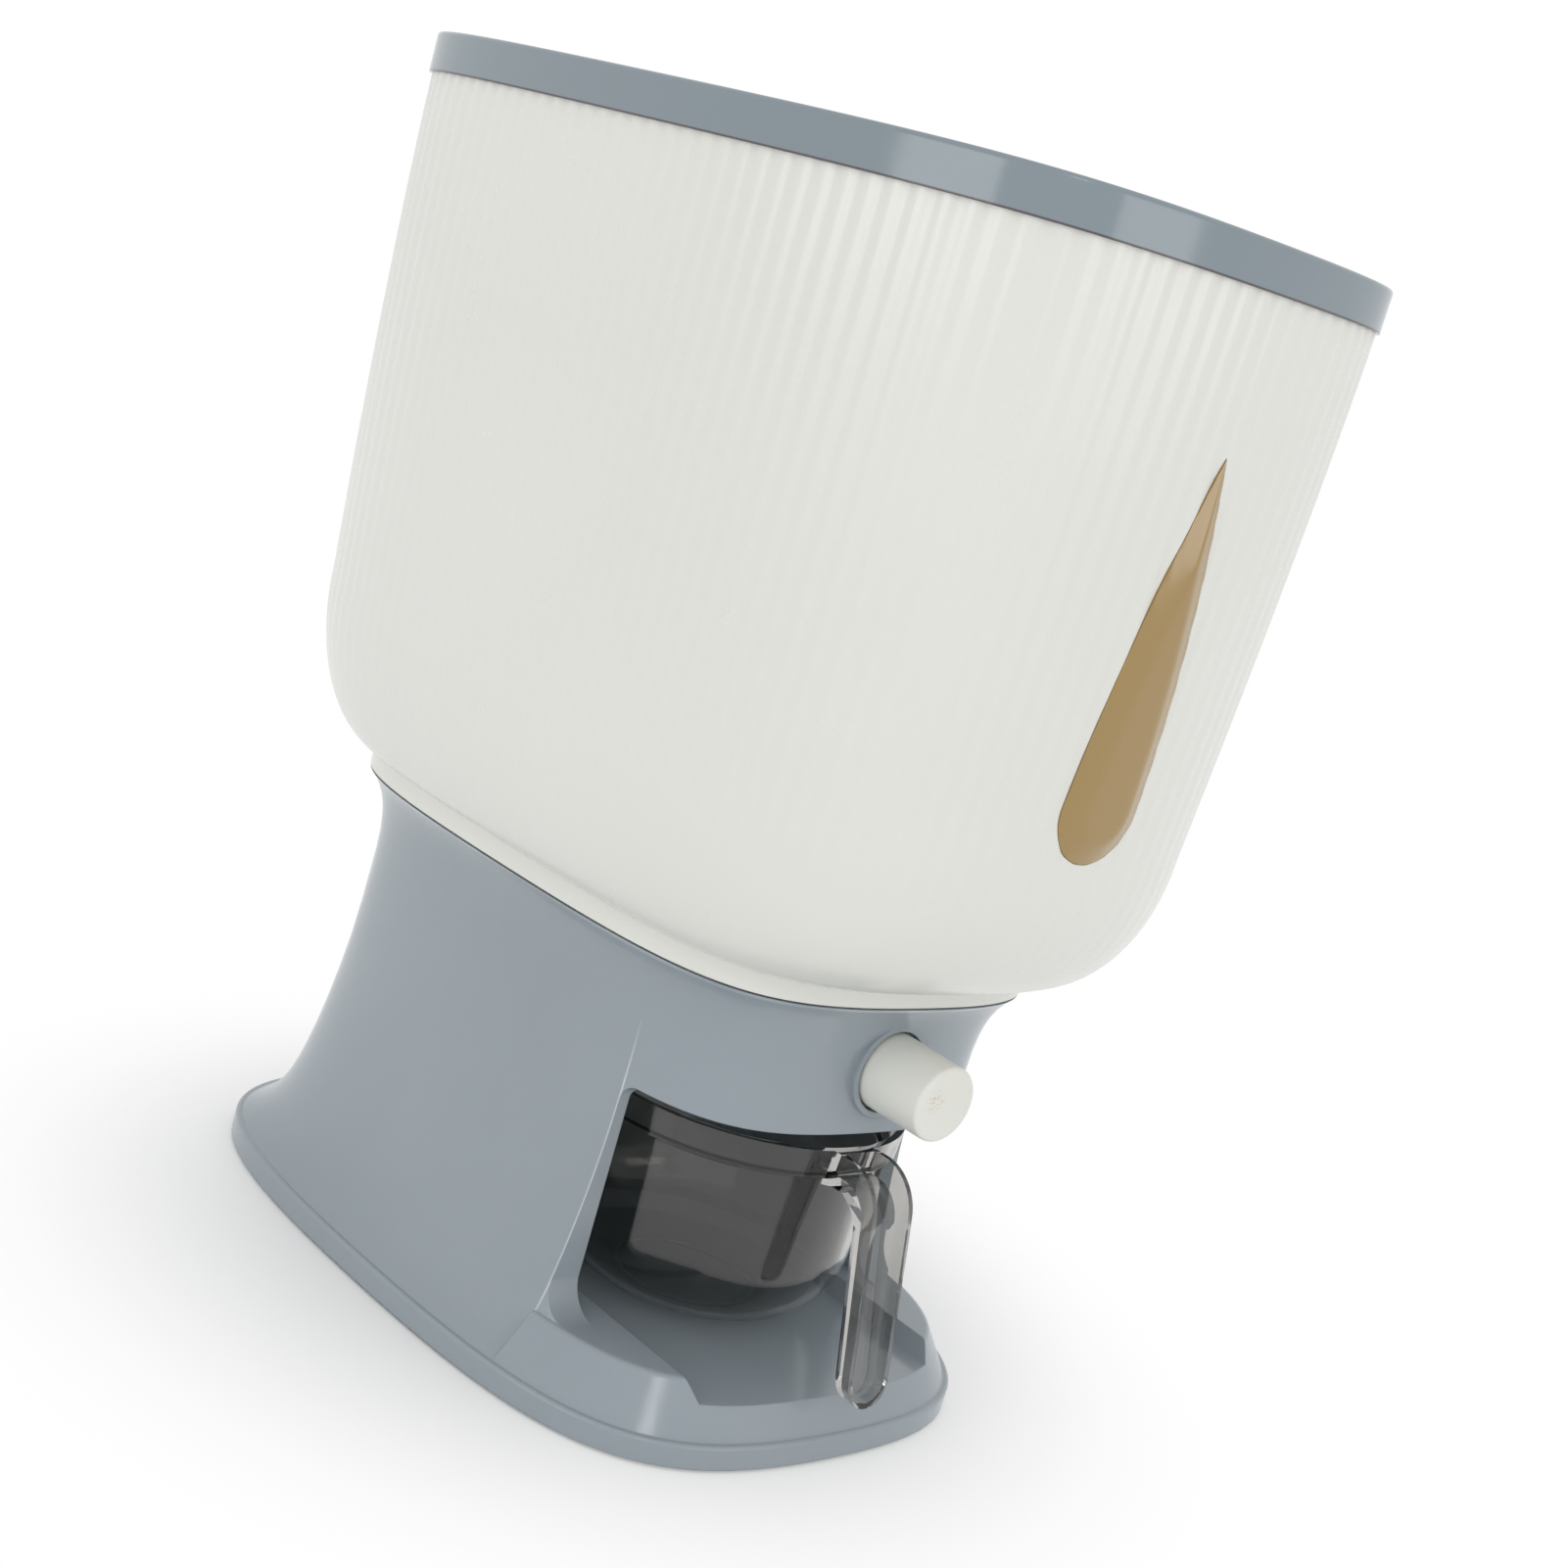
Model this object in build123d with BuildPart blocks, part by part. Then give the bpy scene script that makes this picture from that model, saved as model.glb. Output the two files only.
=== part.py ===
"""Rice dispenser: a fluted bucket with a hopper on a waisted base, with a push gate over a cup.

The front looks along -Y and +Z is up. The origin is on the floor, under the middle of the lid.
All sizes are in millimetres.
"""

import os
from math import cos, hypot, radians, sin, sqrt

from build123d import *

os.makedirs("parts", exist_ok=True)

# Lid
lid_half_width = 101.5
lid_half_depth = 161.35
lid_fullness = 0.848
lid_top = 380.4
lid_skirt_height = 12.9
lid_skirt_wall = 1.6
lid_plate = 1.8
lid_edge_radius = 1.3
lid_fit = 0.3
plug_depth = 14.0
plug_wall = 1.8
plug_fit = 0.6
seal_height = 2.6
seal_depth = 1.0
seal_fit = 0.25
seal_above_plug_end = 3.5

# Bucket
bucket_wall = 2.6
bucket_overhang = 0.9
bucket_lean = 6.1
shoulder_top = 202.0
neck_top = 149.0
neck_bottom = 141.9
neck_half_width = 77.9
neck_half_depth = 115.4
neck_fullness = 0.879
neck_plate = 2.5
bucket_floor = 2.5
spigot_fit = 1.5
spigot_wall = 2.5
hopper_ledge_height = 196.0
hopper_ledge = 1.5
screw_boss_radius = 4.2
flute_count = 116
flute_depth_top = 0.65
flute_depth_low = 0.3
flute_fade_height = 44.0

# Window
window_tip_height = 323.0
window_bottom_height = 202.9
window_radius = 16.5
window_bulge_height = 262.0
window_bulge = 12.1
window_fit = 0.15
window_flange = 3.5
window_flange_thickness = 1.4
window_glue_gap = 0.1

# Hopper and its throat, over the middle of the cup
hopper_fit = 0.3
hopper_rim = 2.0
hopper_cone_fit = 0.5
hopper_cone_rise = 2.3
throat_y = -51.0
throat_half_width = 17.0
throat_half_length = 5.5
throat_wall = 2.0
throat_fullness = 0.96
throat_top = 155.0
throat_bottom = 129.0
throat_seal_height = 2.0
throat_hole_fit = 0.4

# Base
base_rim = 141.3
base_wall = 2.5
rim_half_width = 77.7
rim_spread = 7.8
waist_height = 105.0
skirt_spread = 12.6
toe_spread = 8.4
toe_sharpness = 14
lip_top = 8.7
lip_bottom = 1.0
foot_half_width = 92.9
foot_half_depth = 133.8
foot_fullness = 0.825
depth_over_width = 40.9
rim_depth_loss = 3.4
lip_edge_radius = 1.2
frame_y = -68.3
head_underside = 98.5
shoulder_height = 24.0
shoulder_half_width = 79.8
shoulder_half_depth = 122.5
shoulder_fullness = 0.866
shoulder_edge_radius = 2.0
channel_floor = 18.0
channel_half_width = 49.5
channel_draft = 26.0
alcove_half_width = 62.0
alcove_corner_radius = 5.0
frame_foot_radius = 11.0
ledge_height = 136.0
ledge_thickness = 2.5
ledge_width = 13.0
ledge_notch_half_width = 17.0

# Bottom plate, feet and screws
plate_fit = 0.4
plate_bottom = 2.4
plate_thickness = 2.5
foot_radius = 9.0
foot_recess = 0.6
screw_sink = 1.0
base_screw_spots = [(78.0, 0.0), (58.0, -106.0), (55.0, 108.0)]
boss_top = 30.0
foot_x = 64.0
foot_y = 92.0
foot_fit = 0.2
boss_radius = 4.0
screw_radius = 1.4
screw_fit = 0.1
screw_head_radius = 3.0
screw_head_height = 1.8
screw_head_fit = 0.3
base_screw_length = 10.0
housing_screw_length = 18.0
bucket_screw_length = 10.0
bucket_screw_x = 62.5
bucket_screw_y = 36.0

# Button, its guide, the stem and the spring
button_height = 119.0
button_radius = 12.5
button_face_radius = 12.1
button_face_y = -134.4
button_skirt_end = -102.0
button_wall = 2.0
button_edge_radius = 1.6
button_boss_radius = 8.6
button_boss_length = 12.0
button_hole_radius = 13.3
button_travel = 12.0
ring_radius = 15.2
ring_face_y = -110.7
guide_radius = 14.0
guide_fit = 0.05
guide_bore_fit = 0.3
guide_front = -106.5
guide_back = -86.0
guide_seat = 2.0
collar_radius = 15.5
collar_back = -94.0
stem_radius = 5.0
stem_fit = 0.05
stem_hole_fit = 0.5
stem_front = -131.0
clevis_fit = 0.1
pin_half_length = 4.8
stem_back = -95.5
spring_wire_radius = 0.6
spring_radius = 7.6
spring_turns = 7

# Gate, its housing and the chute
gate_thickness = 4.0
gate_half_width = 21.0
gate_front = -77.0
gate_back = -39.0
gate_gap = 0.2
tongue_half_width = 4.0
tongue_front = -104.0
pin_y = -99.0
pin_radius = 1.25
pin_fit = 0.05
housing_half_width = 30.0
housing_front = -82.0
housing_back = -22.0
housing_end_wall = 3.0
housing_roof = 3.0
housing_collar_wall = 3.0
chute_plate = 2.5
chute_outlet_height = 99.6
chute_outlet_radius = 12.0
chute_wall = 1.8
chute_hole_radius = 20.0
housing_post_radius = 4.0
housing_screw_inset = 4.5
tongue_fit = 0.3
circle_fullness = 0.5523

# Cup
cup_y = -51.0
cup_rim_height = 91.0
cup_rim_radius = 55.5
cup_collar_height = 9.5
cup_collar_draft = 0.7
cup_step = 3.6
cup_step_height = 1.8
cup_belly_radius = 50.0
cup_bottom_radius = 27.0
cup_wall = 2.2
cup_foot_radius = 25.0
cup_foot_width = 2.4
cup_foot_height = 0.8
handle_half_width = 8.75
handle_wall = 1.8
handle_top_corner = (-125.4, 91.8)
handle_top_radius = 16.1
handle_inner_corner = (-119.0, 83.8)
handle_inner_radius = 11.4
handle_front_foot = (-139.4, 21.0)
handle_rear_foot = (-134.0, 21.0)
handle_root_bottom = 79.2
handle_pocket_y = -108.3

def oblong(height, half_width, half_depth, fullness, y=0.0):
    """Level face with full sides and round corners, drawn by one curve a quarter, at a height."""
    with BuildSketch(Plane.XY.offset(height)) as face:
        with BuildLine():
            for side, end in ((1, 1), (-1, 1), (-1, -1), (1, -1)):
                flank = (side * half_width, y)
                flank_pull = (side * half_width, y + end * half_depth * fullness)
                nose_pull = (side * half_width * fullness, y + end * half_depth)
                nose = (0.0, y + end * half_depth)
                quarter = [flank, flank_pull, nose_pull, nose]
                Bezier(*(quarter if side == end else reversed(quarter)))
        make_face()
    return face.sketch


bucket_half_width = lid_half_width - bucket_overhang
bucket_half_depth = lid_half_depth - bucket_overhang
lid_bottom = lid_top - lid_skirt_height
bucket_rim = lid_top - lid_plate
floor_top = neck_top + bucket_floor


def bucket_section(height, inset=0.0, start=neck_top):
    """Plain section: the lower corner is a quarter ellipse, the wall leans in a little."""
    if height < shoulder_top:
        rise = (height - start) / (shoulder_top - start)
        swell = sqrt(1.0 - (1.0 - rise) ** 2)
        lean = bucket_lean
    else:
        swell = 1.0
        lean = bucket_lean * max(0.0, (lid_bottom - height) / (lid_bottom - shoulder_top)) ** 1.5
    half_width = neck_half_width + (bucket_half_width - lean - neck_half_width) * swell
    half_depth = neck_half_depth + (bucket_half_depth - lean - neck_half_depth) * swell
    fullness = neck_fullness + (lid_fullness - neck_fullness) * swell
    return oblong(height, half_width - inset, half_depth - inset, fullness)


def fluted_section(height):
    """Section of the bucket's outside: ridges and grooves in turn, which get shallower downwards."""
    if height > shoulder_top:
        climb = (height - shoulder_top) / (lid_bottom - shoulder_top)
        depth = flute_depth_low + (flute_depth_top - flute_depth_low) * climb
    else:
        depth = flute_depth_low * max(0.0, 1.0 - (shoulder_top - height) / flute_fade_height)
    outline = bucket_section(height).wire()
    points = []
    for flute in range(flute_count):
        for step, share in enumerate((0.5, 0.0, 0.5, 1.0)):
            place = (flute + step / 4.0) / flute_count
            along = outline.tangent_at(place)
            points.append(outline.position_at(place) + Vector(-along.Y, along.X, 0.0) * share * depth)
    ring = points + points[:1]
    arcs = [Edge.make_three_point_arc(*ring[start : start + 3]) for start in range(0, len(points), 2)]
    return Face(Wire(arcs))


def corner_heights(start, end):
    """Heights that climb the lower corner's quarter ellipse in even turns, up to the end height."""
    climbs = [start + (shoulder_top - start) * (1.0 - cos(radians(turn))) for turn in range(0, 90, 15)]
    return [height for height in climbs if height < end - 1.0] + [end]


wall_heights = [shoulder_top + (lid_bottom - shoulder_top) * share for share in (0.0, 0.25, 0.6, 1.0)]


def base_half_width(height):
    """Half width of the base: waisted, with a spreading skirt below and a spreading rim above."""
    waist_half_width = rim_half_width - rim_spread
    if height > waist_height:
        return waist_half_width + rim_spread * ((height - waist_height) / (base_rim - waist_height)) ** 4
    drop = (waist_height - height) / (waist_height - lip_top)
    return waist_half_width + skirt_spread * drop**2 + toe_spread * drop**toe_sharpness


def base_half_depth(height):
    """Half depth of the base, which loses a little towards the rim."""
    return base_half_width(height) + depth_over_width - rim_depth_loss * (height / base_rim) ** 3


def base_section(height, inset=0.0):
    """Section of the base at a height, drawn in by a margin."""
    fullness = foot_fullness + (neck_fullness - foot_fullness) * height / base_rim
    return oblong(height, base_half_width(height) - inset, base_half_depth(height) - inset, fullness)


base_heights = [lip_top, 11.0, 14.0, 18.5, 25.0, 36.0, 55.0, 80.0, waist_height, 120.0, 131.0, base_rim]


def box_between(half_width, front, back, bottom, top, mode=Mode.ADD):
    """Box about the middle plane, between two places along Y and two heights, in the open part."""
    with BuildSketch(Plane.XY.offset(bottom)) as face:
        with Locations((0, (front + back) / 2.0)):
            Rectangle(2.0 * half_width, back - front)
    extrude(face.sketch, amount=top - bottom, mode=mode)


def post(spots, radius, bottom, top, mode=Mode.ADD):
    """Upright round posts at some places, between two heights, in the open part."""
    with BuildSketch(Plane.XY.offset(bottom)) as face:
        with Locations(*spots):
            Circle(radius)
    extrude(face.sketch, amount=top - bottom, mode=mode)


def rod(radius, front, back, mode=Mode.ADD):
    """Round bar on the button's axis, between two places along Y, in the open part."""
    with BuildSketch(Plane(origin=(0, front, button_height), z_dir=(0, 1, 0))) as disc:
        Circle(radius)
    extrude(disc.sketch, amount=back - front, mode=mode)


def screws(spots, seat, length, upwards=True):
    """Pan-head screws whose heads seat at a height, in the open part."""
    turn = 1.0 if upwards else -1.0
    for low, high, radius in ((-screw_head_height, 0.0, screw_head_radius), (0.0, length, screw_radius)):
        ends = sorted((seat + turn * low, seat + turn * high))
        post(spots, radius, ends[0], ends[1])


def throat_outline(height, grow=0.0):
    """Outline of the throat at a height, grown outwards by a margin."""
    return oblong(height, throat_half_width + grow, throat_half_length + grow, throat_fullness, throat_y)


def mirrored(spots):
    """Places and their images across the middle plane."""
    return spots + [(-x, y) for x, y in spots]


# Lid: a plate with a skirt outside the bucket's rim and a plug wall inside it
plug_half_width = bucket_half_width - bucket_wall - plug_fit
plug_half_depth = bucket_half_depth - bucket_wall - plug_fit
plug_bottom = bucket_rim - plug_depth
seal_bottom = plug_bottom + seal_above_plug_end


def lid_outline(height, half_width, half_depth, inset=0.0):
    """Outline of the lid's family at a height, drawn in by a margin."""
    return oblong(height, half_width - inset, half_depth - inset, lid_fullness)


groove_floor = lid_outline(seal_bottom, plug_half_width, plug_half_depth, seal_depth)

with BuildPart() as lid:
    extrude(lid_outline(lid_bottom, lid_half_width, lid_half_depth), amount=lid_skirt_height)
    fillet(lid.edges().group_by(Axis.Z)[-1], radius=lid_edge_radius)
    skirt_inside = lid_outline(lid_bottom, lid_half_width, lid_half_depth, lid_skirt_wall)
    extrude(skirt_inside, amount=lid_skirt_height - lid_plate, mode=Mode.SUBTRACT)
    extrude(lid_outline(plug_bottom, plug_half_width, plug_half_depth), amount=plug_depth)
    plug_inside = lid_outline(plug_bottom, plug_half_width, plug_half_depth, plug_wall)
    extrude(plug_inside, amount=plug_depth, mode=Mode.SUBTRACT)
    groove = lid_outline(seal_bottom, plug_half_width, plug_half_depth, -plug_fit)
    extrude(groove - groove_floor, amount=seal_height, mode=Mode.SUBTRACT)
lid.part.label = "lid"
export_step(lid.part, "parts/lid.step")

# Seal: a flat silicone ring in the plug's groove
with BuildPart() as lid_seal:
    seal_outside = lid_outline(seal_bottom, plug_half_width, plug_half_depth, seal_fit - plug_fit)
    extrude(seal_outside - groove_floor, amount=seal_height)
lid_seal.part.label = "lid_seal"
export_step(lid_seal.part, "parts/lid_seal.step")

# Bucket: the outside, then the room above the hopper's ledge and the room below it
with BuildPart() as bucket_outside:
    extrude(fluted_section(neck_top), amount=neck_bottom - neck_top)
    loft(sections=[fluted_section(height) for height in corner_heights(neck_top, shoulder_top)])
    loft(sections=[fluted_section(height) for height in wall_heights])

ledge_inset = bucket_wall + hopper_ledge
with BuildPart() as bucket_hollow:
    loft(sections=[bucket_section(height, bucket_wall) for height in wall_heights])
    extrude(bucket_section(shoulder_top, bucket_wall), amount=hopper_ledge_height - shoulder_top)
    extrude(bucket_section(lid_bottom, bucket_wall), amount=lid_skirt_height)

with BuildPart() as bucket_pit:
    pit_heights = corner_heights(floor_top, hopper_ledge_height)
    loft(sections=[bucket_section(height, ledge_inset, floor_top) for height in pit_heights])


def teardrop(grow):
    """Upright teardrop in the middle of the front, grown outwards by a margin."""
    low = window_bottom_height + window_radius
    with BuildSketch(Plane.XZ) as face:
        with BuildLine():
            tip = (0.0, window_tip_height)
            ThreePointArc((window_radius, low), (window_bulge, window_bulge_height), tip)
            ThreePointArc(tip, (-window_bulge, window_bulge_height), (-window_radius, low))
            ThreePointArc((-window_radius, low), (0.0, window_bottom_height), (window_radius, low))
        make_face()
        if grow:
            offset(amount=grow)
    return face.sketch


spigot_half_width = base_half_width(ledge_height) - base_wall - spigot_fit
spigot_half_depth = base_half_depth(ledge_height) - base_wall - spigot_fit
bucket_screw_spots = mirrored([(bucket_screw_x, -bucket_screw_y), (bucket_screw_x, bucket_screw_y)])
spigot_height = neck_bottom + neck_plate - ledge_height


def neck_outline(height, half_width, half_depth, inset=0.0):
    """Outline of the neck's family at a height, drawn in by a margin."""
    return oblong(height, half_width - inset, half_depth - inset, neck_fullness)


with BuildPart() as bucket:
    add(bucket_outside.part)
    rim_inset = lid_skirt_wall + lid_fit
    rim_face = lid_outline(lid_bottom, lid_half_width, lid_half_depth, rim_inset)
    extrude(rim_face, amount=bucket_rim - lid_bottom)
    add(bucket_hollow.part, mode=Mode.SUBTRACT)
    add(bucket_pit.part, mode=Mode.SUBTRACT)
    neck_inside = neck_outline(neck_bottom + neck_plate, neck_half_width, neck_half_depth, bucket_wall)
    extrude(neck_inside, amount=neck_top - neck_bottom - neck_plate, mode=Mode.SUBTRACT)
    extrude(neck_outline(ledge_height, spigot_half_width, spigot_half_depth), amount=spigot_height)
    spigot_inside = neck_outline(ledge_height, spigot_half_width, spigot_half_depth, spigot_wall)
    extrude(spigot_inside, amount=neck_top - ledge_height, mode=Mode.SUBTRACT)
    post(bucket_screw_spots, screw_boss_radius, ledge_height, neck_top + bucket_floor / 2.0)
    hole_top = ledge_height + bucket_screw_length
    post(bucket_screw_spots, screw_radius + screw_fit, ledge_height, hole_top, Mode.SUBTRACT)
    throat_hole = throat_outline(neck_top, throat_wall + throat_hole_fit)
    extrude(throat_hole, amount=bucket_floor, mode=Mode.SUBTRACT)
    extrude(teardrop(0.0), amount=lid_half_depth, mode=Mode.SUBTRACT)
bucket.part.label = "bucket"
export_step(bucket.part, "parts/bucket.step")

# Window: the plain lens fills the opening, its flange is glued behind the wall
flange_outer_inset = bucket_wall + window_glue_gap
flange_inner_inset = flange_outer_inset + window_flange_thickness
with BuildPart() as window_outside:
    loft(sections=[bucket_section(height) for height in wall_heights])

with BuildPart() as window_inside:
    loft(sections=[bucket_section(height, flange_inner_inset) for height in wall_heights])
    extrude(bucket_section(shoulder_top, flange_inner_inset), amount=hopper_ledge_height - shoulder_top)

with BuildPart() as window_flange_body:
    loft(sections=[bucket_section(height, flange_outer_inset) for height in wall_heights])
    extrude(bucket_section(shoulder_top, flange_outer_inset), amount=hopper_ledge_height - shoulder_top)
    extrude(teardrop(window_flange), amount=lid_half_depth, mode=Mode.INTERSECT)

with BuildPart() as window:
    extrude(teardrop(-window_fit), amount=lid_half_depth)
    add(window_outside.part, mode=Mode.INTERSECT)
    add(window_flange_body.part)
    add(window_inside.part, mode=Mode.SUBTRACT)
window.part.label = "window"
export_step(window.part, "parts/window.step")

# Hopper: a sloping floor on the bucket's ledge, which ends in the throat over the cup
cone_inset = ledge_inset + hopper_cone_fit
rim_outline = bucket_section(shoulder_top, bucket_wall + hopper_fit)
cone_top = bucket_section(shoulder_top, cone_inset)


def moved_up(sketch, height):
    """Copy of a level outline, carried from the shoulder's top to another height."""
    return sketch.moved(Location((0, 0, height - shoulder_top)))


with BuildPart() as hopper:
    outside_top = moved_up(cone_top, hopper_ledge_height)
    loft(sections=[throat_outline(throat_top, throat_wall), outside_top], ruled=True)
    extrude(moved_up(rim_outline, hopper_ledge_height), amount=hopper_rim)
    extrude(throat_outline(throat_bottom, throat_wall), amount=throat_top - throat_bottom)
    inside_top = moved_up(cone_top, hopper_ledge_height + hopper_cone_rise)
    inside_throat_top = throat_top + hopper_cone_rise
    loft(sections=[throat_outline(inside_throat_top), inside_top], ruled=True, mode=Mode.SUBTRACT)
    extrude(throat_outline(throat_bottom), amount=inside_throat_top - throat_bottom, mode=Mode.SUBTRACT)
hopper.part.label = "hopper"
export_step(hopper.part, "parts/hopper.step")

with BuildPart() as throat_seal:
    seal_face = throat_outline(throat_bottom, throat_wall) - throat_outline(throat_bottom)
    extrude(seal_face, amount=-throat_seal_height)
throat_seal.part.label = "throat_seal"
export_step(throat_seal.part, "parts/throat_seal.step")

# Gate housing: an inverted tray over the gate, with a collar up to the throat's seal
gate_bottom = button_height - gate_thickness / 2.0
gate_top = button_height + gate_thickness / 2.0
cavity_bottom = gate_bottom - gate_gap
cavity_top = gate_top + gate_gap
roof_top = cavity_top + housing_roof
housing_x = housing_half_width - housing_screw_inset
housing_screw_spots = mirrored(
    [(housing_x, housing_front + housing_screw_inset), (housing_x, housing_back - housing_screw_inset)]
)

with BuildPart() as gate_housing:
    box_between(housing_half_width, housing_front, housing_back, cavity_bottom, roof_top)
    collar_top = throat_bottom - throat_seal_height
    extrude(throat_outline(roof_top, housing_collar_wall), amount=collar_top - roof_top)
    cavity_front = housing_front + housing_end_wall
    cavity_back = housing_back - housing_end_wall
    cavity_half_width = gate_half_width + gate_gap
    box_between(cavity_half_width, cavity_front, cavity_back, cavity_bottom, cavity_top, Mode.SUBTRACT)
    tongue_way = tongue_half_width + tongue_fit
    box_between(tongue_way, housing_front, cavity_front, cavity_bottom, cavity_top, Mode.SUBTRACT)
    extrude(throat_outline(cavity_top), amount=collar_top - cavity_top, mode=Mode.SUBTRACT)
    post(housing_screw_spots, screw_radius + screw_fit, cavity_bottom, roof_top, Mode.SUBTRACT)
gate_housing.part.label = "gate_housing"
export_step(gate_housing.part, "parts/gate_housing.step")

# Gate: a plate whose slot stands in front of the throat until the button is pressed
slot_y = throat_y - button_travel
with BuildPart() as gate:
    box_between(gate_half_width, gate_front, gate_back, gate_bottom, gate_top)
    box_between(tongue_half_width, tongue_front, gate_front, gate_bottom, gate_top)
    slot = oblong(gate_bottom, throat_half_width, throat_half_length, throat_fullness, slot_y)
    extrude(slot, amount=gate_thickness, mode=Mode.SUBTRACT)
    post([(0, pin_y)], pin_radius + pin_fit, gate_bottom, gate_top, Mode.SUBTRACT)
gate.part.label = "gate"
export_step(gate.part, "parts/gate.step")

# Outlet chute: the housing's floor, with a spout down to the cup
chute_bottom = cavity_bottom - chute_plate


def spout_mouth(inset):
    """Round mouth of the spout, drawn in by a margin."""
    return oblong(
        chute_outlet_height,
        chute_outlet_radius - inset,
        chute_outlet_radius - inset,
        circle_fullness,
        throat_y,
    )


with BuildPart() as outlet_chute:
    box_between(housing_half_width, housing_front, housing_back, chute_bottom, cavity_bottom)
    loft(sections=[spout_mouth(0.0), throat_outline(chute_bottom, chute_wall)], ruled=True)
    loft(sections=[spout_mouth(chute_wall), throat_outline(chute_bottom)], ruled=True, mode=Mode.SUBTRACT)
    extrude(throat_outline(chute_bottom), amount=chute_plate, mode=Mode.SUBTRACT)
    post(housing_screw_spots, screw_radius + screw_fit, chute_bottom, cavity_bottom, Mode.SUBTRACT)
outlet_chute.part.label = "outlet_chute"
export_step(outlet_chute.part, "parts/outlet_chute.step")

# Base: the outside first, then the room that the cup and its alcove take
with BuildPart() as base_outside:
    extrude(oblong(lip_bottom, foot_half_width, foot_half_depth, foot_fullness), amount=lip_top - lip_bottom)
    fillet(base_outside.edges().group_by(Axis.Z)[-1], radius=lip_edge_radius)
    loft(sections=[base_section(height) for height in base_heights])

with BuildPart() as shoulder:
    shoulder_face = oblong(shoulder_height, shoulder_half_width, shoulder_half_depth, shoulder_fullness)
    loft(sections=[base_section(lip_top), shoulder_face], ruled=True)
    fillet(shoulder.edges().group_by(Axis.Z)[-1], radius=shoulder_edge_radius)
    box_between(foot_half_width, -foot_half_depth, frame_y, lip_top, shoulder_height, Mode.INTERSECT)

with BuildPart() as base_inside:
    extrude(base_section(lip_top, base_wall), amount=lip_bottom - lip_top)
    loft(sections=[base_section(height, base_wall) for height in base_heights])
    lip_inside = oblong(lip_bottom, foot_half_width - base_wall, foot_half_depth - base_wall, foot_fullness)
    extrude(lip_inside, amount=lip_top - base_wall - lip_bottom)


def recess(grow):
    """Room in the base for the cup, grown outwards by a margin: alcove, gap in front and channel."""
    bottom = shoulder_height - grow
    top = head_underside + grow
    radius = alcove_half_width + grow
    channel = channel_half_width + grow / 2.0
    with BuildPart() as front:
        box_between(2.0 * foot_half_width, -2.0 * foot_half_depth, frame_y + grow, bottom, top)
        head_edge = front.edges().filter_by(Axis.X).group_by(Axis.Z)[-1].sort_by(Axis.Y)[-1]
        fillet(head_edge, radius=alcove_corner_radius + grow)
        foot_edge = front.edges().filter_by(Axis.X).group_by(Axis.Z)[0].sort_by(Axis.Y)[-1]
        fillet(foot_edge, radius=frame_foot_radius + grow)
    with BuildPart() as room:
        with BuildSketch(Plane.XY.offset(bottom)):
            with Locations((0, cup_y)):
                Circle(radius)
            with Locations((0, cup_y - radius / 2.0)):
                Rectangle(2.0 * radius, radius)
        extrude(amount=top - bottom)
        fillet(room.edges().group_by(Axis.Z)[-1], radius=alcove_corner_radius + grow)
        add(front.part)
        with BuildSketch(Plane.XY.offset(channel_floor - grow)):
            with Locations((0, cup_y)):
                Circle(channel)
            with Locations((0, cup_y - foot_half_depth / 2.0)):
                Rectangle(2.0 * channel, foot_half_depth)
        extrude(amount=shoulder_height - channel_floor + grow, taper=-channel_draft)
    return room.part


cup_room = recess(0.0)
lined_room = recess(base_wall)

with BuildPart() as base_form:
    add(base_outside.part)
    add(shoulder.part)

with BuildPart() as base_lining:
    add(base_form.part)
    add(lined_room, mode=Mode.INTERSECT)

plate_top = plate_bottom + plate_thickness
base_spots = mirrored(base_screw_spots)
with BuildPart() as base_bosses:
    post(base_spots, boss_radius, plate_top, boss_top)
    add(base_form.part, mode=Mode.INTERSECT)
    post(base_spots, screw_radius + screw_fit, plate_top, plate_top + base_screw_length, Mode.SUBTRACT)

ledge_bottom = ledge_height - ledge_thickness
with BuildPart() as base_ledge:
    extrude(base_section(ledge_bottom, base_wall / 4.0), amount=ledge_thickness)
    extrude(base_section(ledge_bottom, base_wall + ledge_width), amount=ledge_thickness, mode=Mode.SUBTRACT)
    box_between(ledge_notch_half_width, -foot_half_depth, throat_y, ledge_bottom, ledge_height, Mode.SUBTRACT)
    post(bucket_screw_spots, screw_radius + screw_fit, ledge_bottom, ledge_height, Mode.SUBTRACT)

ceiling_top = head_underside + base_wall
wall_front = -base_half_depth(button_height)
wall_back = wall_front + base_wall
with BuildPart() as base:
    add(base_form.part)
    add(base_inside.part, mode=Mode.SUBTRACT)
    add(base_lining.part)
    add(base_bosses.part)
    add(cup_room, mode=Mode.SUBTRACT)
    add(base_ledge.part)
    post(housing_screw_spots, housing_post_radius, ceiling_top, chute_bottom)
    pilot_bottom = roof_top - housing_screw_length
    post(housing_screw_spots, screw_radius + screw_fit, pilot_bottom, chute_bottom, Mode.SUBTRACT)
    post([(0, throat_y)], chute_hole_radius, head_underside, ceiling_top, Mode.SUBTRACT)
    rod(ring_radius, ring_face_y, wall_back)
    rod(collar_radius, wall_back - base_wall / 2.0, collar_back)
    rod(button_hole_radius, ring_face_y, collar_back, Mode.SUBTRACT)
    rod(guide_radius + guide_fit, guide_front, collar_back, Mode.SUBTRACT)
base.part.label = "base"
export_step(base.part, "parts/base.step")

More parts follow.
